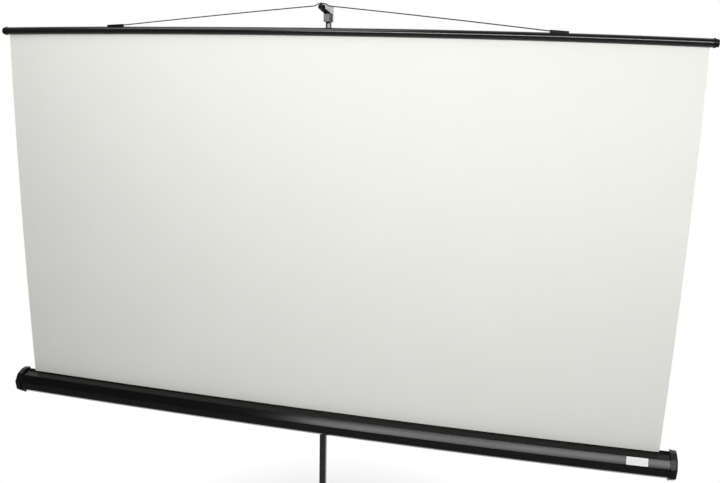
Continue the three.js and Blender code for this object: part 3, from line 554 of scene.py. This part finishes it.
def turned(
    name: str, profile: Sequence[Point2], start: Vector, along: Vector, sides: int,
) -> bpy.types.Object:
    """A turned piece.

    Args:
        name: the piece's name.
        profile: distance along the axis and radius, from end to end; a radius of 0 closes it.
        start: the axis's zero.
        along: the axis's direction.
        sides: faces round the axis.
    """
    shell = Shell()
    axis = along.normalized()
    across = axis.orthogonal().normalized()
    aside = axis.cross(across)
    loops, tips = [], []
    for reach, radius in profile:
        centre = start + axis * reach
        if radius == 0.0:
            tips.append(tuple(centre))
            continue
        loops.append([
            tuple(centre + (across * math.cos(a) + aside * math.sin(a)) * radius)
            for a in around(sides)
        ])
    made = shell.loft(loops)
    shell.fan(made[0], tips[0])
    shell.fan(made[-1], tips[-1])
    return shell.piece(name)


def block(
    name: str, centre: Vector, size: Point3, turn: Matrix, round_by: float,
) -> bpy.types.Object:
    """A block of three sides, turned, its edges rounded by a width in metres."""
    shell = Shell()
    place = Matrix.Translation(centre) @ turn.to_4x4() @ Matrix.Diagonal((*size, 1.0))
    bmesh.ops.create_cube(shell.mesh, size=1.0, matrix=place)
    shell.soften(round_by)
    return shell.piece(name)


def softened(node: str, width: float, steps: int = EDGE_STEPS) -> bpy.types.Object:
    """A copy of a construction piece with its sharp edges rounded as the real one's are."""
    shell = Shell()
    shell.mesh.from_mesh(frame["nodes"][node].data)
    bmesh.ops.remove_doubles(shell.mesh, verts=shell.mesh.verts, dist=MERGE_WITHIN)
    bmesh.ops.dissolve_limit(
        shell.mesh, angle_limit=FLAT_WITHIN, verts=shell.mesh.verts, edges=shell.mesh.edges,
    )
    shell.soften(width, steps)
    return shell.piece(f"{node}_rounded")


def carved(piece: bpy.types.Object, *tools: bpy.types.Object) -> bpy.types.Object:
    """Cuts tools out of a piece, removes the tools and hands the piece back."""
    for tool in tools:
        cut = piece.modifiers.new("cut", "BOOLEAN")
        cut.operation = "DIFFERENCE"
        cut.solver = "EXACT"
        cut.object = tool
    depsgraph = bpy.context.evaluated_depsgraph_get()
    data = bpy.data.meshes.new_from_object(piece.evaluated_get(depsgraph))
    piece.modifiers.clear()
    piece.data = data
    data.set_sharp_from_angle(angle=SMOOTH_BELOW)
    for tool in tools:
        bpy.data.objects.remove(tool)
    return piece


def fasten(piece: bpy.types.Object, body: str, slot: str) -> None:
    """Puts a piece on a body, in the finish of a material slot unless it already has one."""
    if not piece.data.materials:
        piece.data.materials.append(FINISH_OF[slot].material())
    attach(piece, body)
    log.info("%s rides on %s in %s", piece.name, body, slot)


def settle(piece: bpy.types.Object, node: str, slot: str | None = None) -> None:
    """Puts a piece in the place of a construction piece, in its slot unless another is named."""
    fasten(piece, BODY_OF[node], slot or SLOT_OF[node])
    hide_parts(node)


def centre_of(node: str) -> Vector:
    """The middle of a construction piece."""
    low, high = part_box(node)
    return (low + high) / 2


@dataclass
class Screen:
    """The hanging sheet in two parts that meet at a seam, and the turns left on the roller."""

    thick: float = 0.0005
    columns: int = 44
    rows: int = 16
    turns: int = 3
    steps_a_turn: int = 72
    roll_inner: float = 0.01555
    roll_outer: float = 0.01725
    faces_back: float = 0.5
    seam: float = field(init=False)

    def __post_init__(self) -> None:
        """Finds the height at which the lowered batten and the raised case meet."""
        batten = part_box("batten_tube")[0].z + JOINT_OF["screen_lower"]["range_m"][0]
        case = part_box("case_shell")[1].z - JOINT_OF["case_raise"]["range_m"][0]
        self.seam = (batten + case) / 2

    def build(self) -> None:
        """Makes the sheets and the roll."""
        low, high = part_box("screen_fabric")
        self._part("fabric_upper", self.seam, high.z, "screen_lower")
        self._part("fabric_lower", self.seam, low.z, "case_raise")
        self._roll()

    def _part(
        self, name: str, fixed: float, free: float, joint: str,
    ) -> None:
        """Makes one flat part of the sheet.

        Args:
            name: the piece's name.
            fixed: the height of the seam, where the part starts.
            free: the height of the part's far edge.
            joint: the joint whose range gives a share of the part to keep, which is then not used.
        """
        low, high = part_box("screen_fabric")
        middle = (low.y + high.y) / 2
        shell = Shell()
        loops = []
        for row in range(self.rows + 1):
            z = fixed + (free - fixed) * row / self.rows
            front = [
                (low.x + (high.x - low.x) * i / self.columns, middle - self.thick / 2, z)
                for i in range(self.columns + 1)
            ]
            back = [(x, middle + self.thick / 2, z) for x, _, z in reversed(front)]
            loops.append(front + back)
        made = shell.loft(loops)
        count = self.columns + 1
        for edge in (made[0], made[-1]):
            shell.bridge(edge[:count], edge[count:][::-1], closed=False)
        sheet = shell.piece(name)
        sheet.data.materials.append(FINISH_OF["white_fabric"].material())
        sheet.data.materials.append(CLOTH_BACKING.material())
        for face in sheet.data.polygons:
            face.material_index = 1 if face.normal.y > self.faces_back else 0
        settle(sheet, "screen_fabric")
        length = abs(free - fixed)
        keep = (length - max(abs(limit) for limit in JOINT_OF[joint]["range_m"])) / length
        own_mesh(sheet)

    def _roll(self) -> None:
        """Makes the wound turns as one sheet that spirals out to where it leaves the roller."""
        count = self.turns * self.steps_a_turn
        line = []
        for i in range(count + 1):
            share = i / count
            radius = self.roll_inner + (self.roll_outer - self.roll_inner) * share
            angle = 2 * math.pi * self.turns * (share - 1)
            line.append((radius * math.cos(angle), radius * math.sin(angle)))
        low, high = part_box("wound_fabric")
        wide, axis = high.x - low.x, centre_of("wound_fabric")
        roll = rolled_sheet("fabric_roll", line, self.thick, wide / 2, axis)
        settle(roll, "wound_fabric")


@dataclass
class Batten:
    """The round top bar, its end caps and the wire bail that hangs it on the hook."""

    wall: float = 0.0012
    slot: float = 0.0022
    sides: int = 72
    cap_rim: float = 0.0014
    cap_lip: float = 0.002
    cap_step: float = 0.001
    cap_round: float = 0.0032
    cap_fillet: float = 0.0007
    dome_steps: int = 6
    wire_sides: int = 14
    wire_grow: float = 0.0004
    hump_half: float = 0.012
    hump_foot: float = 0.02
    hump_rise: float = 0.007
    bend: float = 0.007
    bend_steps: int = 6
    bend_share: float = 0.45
    clip_to_bend: float = 0.002
    clip_edge: float = 0.0011
    clip_slope: float = 0.0025
    clip_drop: float = 0.0015
    saddle_steps: int = 10

    def build(self) -> None:
        """Makes the tube, caps, clips and wire."""
        self._tube()
        for side in Side:
            self._cap(side)
            self._clip(side)
        self._wire()

    def _tube(self) -> None:
        """Makes the tube, open along its underside for the fabric."""
        low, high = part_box("batten_tube")
        radius = (high.z - low.z) / 2 - self.wall / 2
        mouth = math.asin(self.slot / 2 / radius)
        down = -math.pi / 2
        line = arc((0.0, 0.0), radius, down + mouth, down + 2 * math.pi - mouth, self.sides)
        bar = rolled_sheet("batten_bar", line, self.wall, high.x, centre_of("batten_tube"))
        settle(bar, "batten_tube")

    def _cap(self, side: Side) -> None:
        """Makes one stepped cap with its rounded end."""
        low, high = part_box("batten_tube")
        inner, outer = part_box(f"batten_cap_{side.word}")
        radius = (high.z - low.z) / 2
        tube_end = high.x
        ring, end = (inner.x, outer.x) if side is Side.RIGHT else (-outer.x, -inner.x)
        rim, neck, bore = radius + self.cap_rim, radius - self.cap_step, radius + GAP
        fillet, lip = self.cap_fillet, tube_end + self.cap_lip
        dome = (end - self.cap_round, neck - self.cap_round)
        profile = [
            (tube_end + GAP, 0.0),
            (tube_end + GAP, bore),
            (ring, bore),
            *arc((ring + fillet, rim - fillet), fillet, math.pi, math.pi / 2, EDGE_STEPS),
            *arc((lip - fillet, rim - fillet), fillet, math.pi / 2, 0.0, EDGE_STEPS),
            *arc((lip + fillet, neck + fillet), fillet, math.pi, math.pi * 1.5, EDGE_STEPS),
            *arc(dome, self.cap_round, math.pi / 2, 0.0, self.dome_steps),
            (end, 0.0),
        ]
        axis = centre_of("batten_tube")
        cap = turned(f"batten_end_{side.word}", profile, axis, side.out, self.sides)
        settle(cap, f"batten_cap_{side.word}")

    def _clip(self, side: Side) -> None:
        """Makes one blunt clip on the bar, a little lower at its outer end, bored for the wire."""
        low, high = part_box(f"bail_clip_{side.word}")
        axis = centre_of("batten_tube")
        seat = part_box("batten_tube")[1].z - axis.z + GAP
        half, top = (high.y - low.y) / 2, high.z - axis.z - self.clip_drop
        corner = math.acos(half / seat)
        saddle = arc((0.0, 0.0), seat, corner, math.pi - corner, self.saddle_steps)
        inner, outer = (low.x, high.x) if side is Side.RIGHT else (high.x, low.x)
        ends = ((inner, top), (outer, top - self.clip_slope))
        shell = Shell()
        shell.closed_loft([
            along_x(x, [(-half, rise), (half, rise), *saddle], axis) for x, rise in ends
        ])
        shell.soften(self.clip_edge)
        wire_low, wire_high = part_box("bail_wire")
        radius = (wire_high.y - wire_low.y) / 2
        bore = radius + self.wire_grow + GAP
        mouth = Vector((inner - side.value * bore, axis.y, wire_low.z + radius))
        reach = abs(wire_high.x - abs(mouth.x)) + GAP
        profile = [(0.0, 0.0), (0.0, bore), (reach, bore), (reach, 0.0)]
        hole = turned("clip_bore", profile, mouth, side.out, SMALL_SIDES)
        settle(carved(shell.piece(f"clip_{side.word}"), hole), f"bail_clip_{side.word}")

    def _wire(self) -> None:
        """Makes the bail: level in each clip, straight to the middle and humped over the hook."""
        low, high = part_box("bail_wire")
        radius = (high.y - low.y) / 2
        foot, top = low.z + radius, high.z - radius
        radius += self.wire_grow
        turn_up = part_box("bail_clip_right")[0].x - self.clip_to_bend
        right = [
            (self.hump_half, top),
            (self.hump_foot, top - self.hump_rise),
            (turn_up, foot),
            (high.x, foot),
        ]
        line = self._eased([(-x, z) for x, z in reversed(right)] + right)
        middle = (low.y + high.y) / 2
        loops = []
        for i, (x, z) in enumerate(line):
            along = heading(line, i)
            loop = []
            for angle in around(self.wire_sides):
                out, aside = radius * math.cos(angle), radius * math.sin(angle)
                loop.append((x - along.y * out, middle + aside, z + along.x * out))
            loops.append(loop)
        shell = Shell()
        shell.closed_loft(loops)
        settle(shell.piece("bail"), "bail_wire")

    def _eased(self, corners: Sequence[Point2]) -> list[Point2]:
        """The wire's line with each corner eased by a short curve."""
        line = [corners[0]]
        for before, corner, after in zip(corners, corners[1:], corners[2:]):
            here = Vector(corner)
            back, on = Vector(before) - here, Vector(after) - here
            start = here + back.normalized() * min(self.bend, back.length * self.bend_share)
            end = here + on.normalized() * min(self.bend, on.length * self.bend_share)
            for i in range(self.bend_steps + 1):
                t = i / self.bend_steps
                line.append(tuple(start * (1 - t) ** 2 + here * 2 * t * (1 - t) + end * t ** 2))
        line.append(corners[-1])
        return line


@dataclass
class Mast:
    """The sliding upper tube, its black head with a grey plate, and the hook for the bail."""

    edges: dict[str, float] = field(default_factory=lambda: {
        "extension_tube": 0.0003,
        "head_block": 0.0012,
        "gooseneck_arm": 0.0004,
    })
    nose_width: float = 0.009
    nose_height: float = 0.02
    nose_length: float = 0.008
    nose_round: float = 0.0022
    nose_sides: int = 48
    nose_steps: int = 5
    neck_width: float = 0.006
    neck_height: float = 0.0102
    neck_edge: float = 0.0007
    plug_length: float = 0.006
    arm_wall: float = 0.0015
    rivet_radius: float = 0.0032
    rivet_rise: float = 0.0011
    rivet_back: float = 0.0082
    rivet_turns: tuple[float, ...] = (0.0, 0.4, 0.8, 1.2)
    plate_thick: float = 0.0016
    plate_inset: float = 0.0008
    plate_edge: float = 0.0007

    def build(self) -> None:
        """Makes the rounded pieces, the head's plate, the hook's nose and the rivets."""
        for node, width in self.edges.items():
            slot = "moulded_black" if node == "head_block" else None
            settle(softened(node, width), node, slot)
        self._plate()
        self._nose()
        for side in Side:
            self._rivet(side)

    def _rivet(self, side: Side) -> None:
        """Makes one of the rivets that hold the arm to the head."""
        head = centre_of("head_block")
        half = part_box("gooseneck_arm")[1].x
        start = Vector((half * side.value, head.y + self.rivet_back, head.z))
        rise, radius = self.rivet_rise, self.rivet_radius
        profile = [
            (-rise, 0.0),
            (-rise, radius),
            *((rise * math.sin(a), radius * math.cos(a)) for a in self.rivet_turns),
            (rise, 0.0),
        ]
        rivet = turned(f"arm_rivet_{side.word}", profile, start, side.out, SMALL_SIDES)
        fasten(rivet, BODY_OF["gooseneck_arm"], "zinc_steel")

    def _plate(self) -> None:
        """Makes the grey plate on the front of the head."""
        low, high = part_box("head_block")
        centre = Vector(((low.x + high.x) / 2, low.y, (low.z + high.z) / 2))
        size = (
            high.x - low.x - 2 * self.plate_inset,
            self.plate_thick,
            high.z - low.z - 2 * self.plate_inset,
        )
        plate = block("head_plate", centre, size, Matrix.Identity(3), self.plate_edge)
        fasten(plate, BODY_OF["head_block"], "grey_plastic")

    def _nose(self) -> None:
        """Makes the hook's oval nose, raised before the wire, with the neck and plug behind it."""
        low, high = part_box("gooseneck_tip")
        edge = [
            (self.nose_round * (1 - math.sin(a)), self.nose_round * (1 - math.cos(a)))
            for a in quarter(self.nose_steps)
        ]
        sections = [(inset, low.y + reach) for inset, reach in edge]
        sections += [(inset, low.y + self.nose_length - reach) for inset, reach in reversed(edge)]
        half, tall = self.nose_width / 2, self.nose_height / 2
        middle = high.z - tall
        shell = Shell()
        shell.closed_loft([
            [
                ((half - inset) * math.cos(a), y, middle + (tall - inset) * math.sin(a))
                for a in around(self.nose_sides)
            ]
            for inset, y in sections
        ])
        settle(shell.piece("hook_nose"), "gooseneck_tip")

        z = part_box("gooseneck_arm")[1].z - self.arm_wall - GAP - self.neck_height / 2
        start = low.y + self.nose_length / 2
        pieces = {
            "hook_neck": (start, self.neck_width),
            "hook_plug": (high.y - self.plug_length, high.x - low.x),
        }
        for name, (front, width) in pieces.items():
            centre = Vector((0.0, (front + high.y) / 2, z))
            size = (width, high.y - front, self.neck_height)
            piece = block(name, centre, size, Matrix.Identity(3), self.neck_edge)
            fasten(piece, BODY_OF["gooseneck_tip"], "moulded_black")


@dataclass
class Case:
    """The eight-sided case, its moulded ends, the bare label and what hangs it on the pole."""

    flats: float = 0.06985
    wall: float = 0.0012
    tilt: float = math.radians(9)
    fold: float = 0.0026
    fold_steps: int = 5
    lip_front: float = 0.00935
    lip_rear: float = 0.02205
    cap_grow: float = 0.004
    cap_collar: float = 0.012
    cap_rim: float = 0.0012
    cap_rim_width: float = 0.006
    cap_edge: float = 0.005
    cap_fillet: float = 0.0006
    cap_edge_steps: int = 5
    cap_corner: float = 0.0022
    cap_corner_steps: int = 4
    panel_inset: float = 0.004
    panel_depth: float = 0.0009
    screw_radius: float = 0.0036
    screw_rise: float = 0.0016
    screw_sides: int = 28
    screw_profile: tuple[Point2, ...] = (
        (-1.0, 0.0), (-1.0, 1.0), (0.45, 1.0), (0.85, 0.82), (1.0, 0.45), (1.0, 0.0),
    )
    screw_turns: tuple[float, ...] = (25.0, 115.0)
    blade_rise: float = 1.6
    blade_width: float = 1.1
    blade_thick: float = 0.26
    blade_edge: float = 0.00005
    screw_places: tuple[Point2, ...] = ((-0.017, 0.012), (0.017, -0.012))
    tab: Point3 = (0.007, 0.012, 0.004)
    tab_edge: float = 0.0012
    label_corner: float = 0.0015
    label_corner_steps: int = 5
    edges: dict[str, float] = field(default_factory=lambda: {
        "carry_handle": 0.0032,
        "slider_sleeve": 0.0003,
        "case_saddle": 0.0008,
        "pivot_washer": 0.0004,
        "lock_lever": 0.0012,
    })
    axis: Vector = field(init=False)
    half: float = field(init=False)
    lip_top: float = field(init=False)

    def __post_init__(self) -> None:
        """Takes the roller's axis and the shell's length and lips from the frame."""
        self.axis = Vector(JOINT_OF["roller_spin"]["pos_m"])
        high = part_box("case_shell")[1]
        self.half = high.x
        self.lip_top = high.z - self.axis.z

    def build(self) -> None:
        """Makes the shell, caps, label and the rounded pieces behind the case."""
        self._shell()
        for side in Side:
            self._cap(side)
        self._label()
        for node, width in self.edges.items():
            settle(softened(node, width), node)

    def _octagon(self, flats: float) -> list[Point2]:
        """Corners of the case's octagon, as y and z about the roller."""
        eighth = math.pi / 4
        radius = flats / 2 / math.cos(eighth / 2)
        angles = [eighth / 2 + k * eighth - self.tilt for k in range(8)]
        return [(-radius * math.cos(a), radius * math.sin(a)) for a in angles]

    def _shell(self) -> None:
        """Makes the folded sheet, with a lip turned up on each side of the fabric."""
        ring = self._octagon(self.flats - self.wall)
        front, rear = self.lip_front + self.wall / 2, self.lip_rear + self.wall / 2
        line = [
            (front, self.lip_top),
            self._at_y(ring[1], ring[2], front),
            *(ring[k] for k in (1, 0, 7, 6, 5, 4, 3)),
            self._at_y(ring[3], ring[2], rear),
            (rear, self.lip_top),
        ]
        folded = bent(line, self.fold, self.fold_steps)
        settle(rolled_sheet("case_sheet", folded, self.wall, self.half, self.axis), "case_shell")

    @staticmethod
    def _at_y(first: Point2, second: Point2, y: float) -> Point2:
        """The point at a given y on the line through two corners."""
        share = (y - first[0]) / (second[0] - first[0])
        return (y, first[1] + (second[1] - first[1]) * share)

    def _ring(self, grow: float, x: float) -> list[Point3]:
        """The cap's outline at an x: the case's, grown, with a shoulder over the lips."""
        ring = self._octagon(self.flats + 2 * grow)
        shoulder = self.lip_top + grow
        rear = self.lip_rear + self.wall + grow
        front = self.lip_front - grow
        corners = [ring[0], ring[1], (front, shoulder), (rear, shoulder), *ring[3:]]
        outline = bent(corners, self.cap_corner, self.cap_corner_steps, closed=True)
        return along_x(x, outline, self.axis)

    def _cap(self, side: Side) -> None:
        """Makes one moulded end: bore, rim, round edge and sunk panel, with its screws and tab."""
        low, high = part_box(f"end_cap_{side.word}")
        end = max(abs(low.x), abs(high.x))
        start = self.half - self.cap_collar
        grow, edge, fillet = self.cap_grow, self.cap_edge, self.cap_fillet
        rim, rim_end = grow + self.cap_rim, start + self.cap_rim_width
        panel = grow - edge - self.panel_inset
        steps = [
            (GAP, self.half + GAP),
            (GAP, start),
            (rim - fillet, start),
            (rim, start + fillet),
            (rim, rim_end - fillet),
            (rim - fillet, rim_end),
            (grow, rim_end + fillet),
            *(
                (grow - edge * (1 - math.cos(a)), end - edge * (1 - math.sin(a)))
                for a in quarter(self.cap_edge_steps)
            ),
            (panel, end),
            (panel - fillet, end - self.panel_depth),
        ]
        shell = Shell()
        shell.closed_loft([self._ring(out, x * side.value) for out, x in steps])
        settle(shell.piece(f"case_end_{side.word}"), f"end_cap_{side.word}")

        face = (end - self.panel_depth) * side.value
        for name, (y, z) in zip(("front", "rear"), self.screw_places):
            place = Vector((face, self.axis.y + y, self.axis.z + z))
            self._screw(f"case_screw_{side.word}_{name}", place, side.out)
        self._tab(side, start)

    def _screw(self, name: str, place: Vector, out: Vector) -> None:
        """Makes one pan-headed screw with a crossed recess."""
        radius, rise = self.screw_radius, self.screw_rise
        profile = [(rise * along, radius * across) for along, across in self.screw_profile]
        head = turned(name, profile, place, out, self.screw_sides)
        blade = (rise * self.blade_rise, radius * self.blade_width, radius * self.blade_thick)
        tools = []
        for angle in self.screw_turns:
            turn = Matrix.Rotation(math.radians(angle), 3, "X")
            tools.append(block("blade", place + out * rise, blade, turn, self.blade_edge))
        fasten(carved(head, *tools), BODY_OF["case_shell"], "zinc_steel")

    def _tab(self, side: Side, start: float) -> None:
        """Makes the small foot under one cap's rim, which starts at this distance."""
        down = math.radians(-90) - self.tilt
        reach = self.flats / 2 + self.cap_grow + self.cap_rim
        middle = Vector((
            (start + self.cap_rim_width) * side.value,
            self.axis.y - reach * math.cos(down),
            self.axis.z + reach * math.sin(down),
        ))
        turn = Matrix.Rotation(self.tilt, 3, "X")
        tab = block(f"case_tab_{side.word}", middle, self.tab, turn, self.tab_edge)
        fasten(tab, BODY_OF["case_shell"], "moulded_black")

    def _label(self) -> None:
        """Makes the bare film on the upper front face, with rounded corners."""
        low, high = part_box("label_plate")
        middle = (low + high) / 2
        slope = math.pi / 4 - self.tilt
        out = Vector((0, -math.cos(slope), math.sin(slope)))
        up = Vector((0, math.sin(slope), math.cos(slope)))
        across = Vector((1, 0, 0))
        thick = GAP
        wide = (high.x - low.x) / 2
        tall = (high.z - low.z - thick * abs(out.z)) / up.z / 2
        corners = [(wide, tall), (-wide, tall), (-wide, -tall), (wide, -tall)]
        outline = bent(corners, self.label_corner, self.label_corner_steps, closed=True)
        shell = Shell()
        shell.closed_loft([
            [tuple(middle + across * a + up * b + out * thick * level) for a, b in outline]
            for level in (-0.5, 0.5)
        ])
        settle(shell.piece("label_film"), "label_plate")


@dataclass
class Tripod:
    """The pole, its clamps and the folding legs with their rubber feet."""

    legs: int = 3
    spread: float = math.radians(58)
    foot_radius: float = 0.021
    foot_top: float = 0.017
    foot_fillet: float = 0.0022
    foot_fillet_steps: int = 4
    foot_sides: int = 64
    groove: float = 0.0009
    groove_places: tuple[float, ...] = (0.3, 0.5, 0.7)
    groove_profile: tuple[Point2, ...] = ((-0.05, 0.0), (-0.025, 1.0), (0.025, 1.0), (0.05, 0.0))
    pocket_edge: float = 0.0001
    edges: dict[str, float] = field(default_factory=lambda: {
        "pole_tube": 0.0004,
        "foot_hub": 0.0008,
        "mast_guide": 0.0008,
        "mast_knob": 0.0018,
        "leg_collar": 0.0008,
        "collar_knob": 0.0018,
    })
    leg_edges: dict[str, float] = field(default_factory=lambda: {
        "leg": 0.0005,
        "strut": 0.001,
        "strut_pin": 0.0005,
    })
    leg_edge_steps: int = 2

    def build(self) -> None:
        """Makes the rounded pieces and the feet."""
        for node, width in self.edges.items():
            settle(softened(node, width), node)
        for number in range(1, self.legs + 1):
            for stem, width in self.leg_edges.items():
                node = f"{stem}_{number}"
                settle(softened(node, width, self.leg_edge_steps), node)
            self._foot(number)

    def _foot(self, number: int) -> None:
        """Makes one grooved rubber foot with a pocket for the leg's end."""
        node = f"foot_{number}"
        low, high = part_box(node)
        centre = Vector(((low.x + high.x) / 2, (low.y + high.y) / 2, 0.0))
        tall, fillet, steps = high.z, self.foot_fillet, self.foot_fillet_steps
        lower, upper = (fillet, self.foot_radius - fillet), (tall - fillet, self.foot_top - fillet)
        taper = (self.foot_radius - self.foot_top) / tall
        profile = [(0.0, 0.0), *arc(lower, fillet, math.pi, math.pi / 2, steps)]
        for share in self.groove_places:
            for step, depth in self.groove_profile:
                z = (share + step) * tall
                profile.append((z, self.foot_radius - taper * z - depth * self.groove))
        profile += [*arc(upper, fillet, math.pi / 2, 0.0, steps), (tall, 0.0)]
        foot = turned(f"{node}_rubber", profile, centre, Vector((0, 0, 1)), self.foot_sides)
        settle(carved(foot, self._pocket(number)), node)

    def _pocket(self, number: int) -> bpy.types.Object:
        """The tool that cuts the space in a foot that the leg's end fills."""
        joint = JOINT_OF[f"leg_swing_{number}"]
        pin, across = Vector(joint["pos_m"]), Vector(joint["axis"])
        outward = across.cross(Vector((0, 0, 1)))
        down = outward * math.sin(self.spread) - Vector((0, 0, 1)) * math.cos(self.spread)
        turn = Matrix((across, down.cross(across), down)).transposed()
        leg = frame["nodes"][f"leg_{number}"].data
        corners = [turn.transposed() @ (vertex.co - pin) for vertex in leg.vertices]
        low = Vector(min(corner[i] for corner in corners) for i in range(3))
        high = Vector(max(corner[i] for corner in corners) for i in range(3))
        low -= Vector((GAP, GAP, 0.0))
        high += Vector((GAP, GAP, GAP))
        middle = pin + turn @ ((low + high) / 2)
        return block("pocket", middle, tuple(high - low), turn, self.pocket_edge)


class Lamp(NamedTuple):
    """A soft rectangular lamp: where it hangs, what it looks at, its sides and its watts."""

    name: str
    place: Point3
    aim: Point3
    size: Point2
    power: float

    def hang(self) -> None:
        """Adds the lamp."""
        light = bpy.data.lights.new(self.name, "AREA")
        light.shape = "RECTANGLE"
        light.size, light.size_y = self.size
        light.energy = self.power
        lamp = bpy.data.objects.new(self.name, light)
        lamp.location = self.place
        beam = Vector(self.aim) - Vector(self.place)
        lamp.rotation_euler = beam.to_track_quat("-Z", "Y").to_euler()
        bpy.context.scene.collection.objects.link(lamp)


@dataclass
class Studio:
    """A pale floor, soft light and the camera at the photograph's angle."""

    white: Colour = (1.0, 1.0, 1.0)
    behind_shift: float = 0.5
    behind_stops: Stops = ((0.4, 0.0), (0.6, 1.0))
    floor_size: float = 14.0
    floor_color: Colour = (0.55, 0.55, 0.55)
    floor_near: float = 0.7
    floor_stops: Stops = ((0.05, 0.0), (0.125, 1.0))
    fill: float = 0.17
    lamps: tuple[Lamp, ...] = (
        Lamp("key_light", (0.67, -2.1, 2.54), (0.52, -0.2086, 0.1), (2.9, 0.3), 52.0),
        Lamp("top_light", (-0.78, -0.9, 3.3), (-0.4, -0.2086, 1.9), (1.4, 1.4), 16.0),
        Lamp("back_light", (-1.6, 3.2, 2.6), (0.0, 0.0, 0.9), (2.0, 2.0), 40.0),
    )
    camera_place: Point3 = (0.6713, -2.4993, 1.9531)
    camera_turn: Point3 = (76.25, -1.325, 13.539)
    camera_lens: float = 38.62
    camera_sensor: Point2 = (36.0, 24.15)
    lens_curve: tuple[float, ...] = (0.0258796, 6.00854e-06, -5.00589e-06, 5.85006e-08)

    def build(self) -> None:
        """Makes the floor, world, lamps and camera."""
        self._floor()
        self._world()
        for lamp in self.lamps:
            lamp.hang()
        self._camera()
        bpy.context.scene.view_settings.view_transform = "Standard"

    def _seen(self, graph: Graph, place: Shade) -> Shade:
        """A mask of where white shows: to the eye, and behind the object in a mirror or glass.

        Args:
            graph: the nodes to add to.
            place: a place or direction, whose Y is above 0 behind the object.
        """
        camera, glossy, transmission = (
            graph.node("ShaderNodeLightPath", output=f"Is {ray} Ray")
            for ray in ("Camera", "Glossy", "Transmission")
        )
        along = graph.node("ShaderNodeSeparateXYZ", None, {"Vector": place}, "Y")
        behind = graph.ramp(along + self.behind_shift, self.behind_stops)
        return camera | (glossy | transmission) * behind

    def _floor(self) -> None:
        """Makes the floor, white to look at, with a soft shadow left near the object."""
        half = self.floor_size / 2
        corners = ((-1, -1), (1, -1), (1, 1), (-1, 1))
        shell = Shell()
        shell.lid(shell.loop([(half * x, half * y, 0.0) for x, y in corners]))
        floor = shell.piece("floor")
        material = bpy.data.materials.new("pale_floor")
        material.use_nodes = True
        graph = Graph(material.node_tree)
        lit = graph.node("ShaderNodeBsdfDiffuse", None, {"Color": self.floor_color})
        white = graph.node("ShaderNodeEmission", None, {"Color": self.white, "Strength": 1.0})
        place = graph.place()
        length = graph.node("ShaderNodeVectorMath", {"operation": "LENGTH"}, {0: place}, "Value")
        far = graph.ramp(length * (1 / half), self.floor_stops)
        share = self.floor_near + far * (1 - self.floor_near)
        sockets = {0: self._seen(graph, place) * share, 1: lit, 2: white}
        shader = graph.node("ShaderNodeMixShader", None, sockets)
        graph.node("ShaderNodeOutputMaterial", None, {"Surface": shader})
        floor.data.materials.append(material)

    def _world(self) -> None:
        """Sets a white surround that lights the object only gently."""
        world = bpy.data.worlds.new("studio")
        world.use_nodes = True
        graph = Graph(world.node_tree)
        gentle, white = (
            graph.node("ShaderNodeBackground", None, {"Color": self.white, "Strength": strength})
            for strength in (self.fill, 1.0)
        )
        direction = graph.node("ShaderNodeTexCoord", output="Generated")
        sockets = {0: self._seen(graph, direction), 1: gentle, 2: white}
        shader = graph.node("ShaderNodeMixShader", None, sockets)
        graph.node("ShaderNodeOutputWorld", None, {"Surface": shader})
        bpy.context.scene.world = world

    def _camera(self) -> None:
        """Makes the camera, whose lens bows straight lines outwards a little.

        The lens curve gives the angle off its axis by the powers of the distance on the sensor,
        in millimetres.
        """
        lens = bpy.data.cameras.new("camera")
        lens.lens = self.camera_lens
        lens.sensor_width, lens.sensor_height = self.camera_sensor
        lens.type = "PANO"
        lens.panorama_type = "FISHEYE_LENS_POLYNOMIAL"
        lens.fisheye_fov = math.pi
        lens.fisheye_polynomial_k0 = 0.0
        for power, factor in enumerate(self.lens_curve, start=1):
            setattr(lens, f"fisheye_polynomial_k{power}", -factor)
        camera = bpy.data.objects.new("camera", lens)
        camera.location = self.camera_place
        camera.rotation_euler = [math.radians(angle) for angle in self.camera_turn]
        bpy.context.scene.collection.objects.link(camera)
        bpy.context.scene.camera = camera


def dress_frame() -> None:
    """Gives every construction piece that still shows its finish."""
    for node, piece in frame["nodes"].items():
        if piece.hide_render:
            continue
        if not piece.material_slots:
            piece.data.materials.append(None)
        for slot in piece.material_slots:
            slot.link = "OBJECT"
            slot.material = FINISH_OF[SLOT_OF[node]].material()
        log.info("%s keeps its shape in %s", node, SLOT_OF[node])


def main() -> None:
    """Builds the studio and every sub-assembly, in order."""
    logging.basicConfig(level=logging.INFO, format="%(message)s")
    for assembly in (Studio(), Screen(), Batten(), Mast(), Case(), Tripod()):
        log.info("building %s", type(assembly).__name__)
        assembly.build()
    dress_frame()


if __name__ == "__main__":
    main()
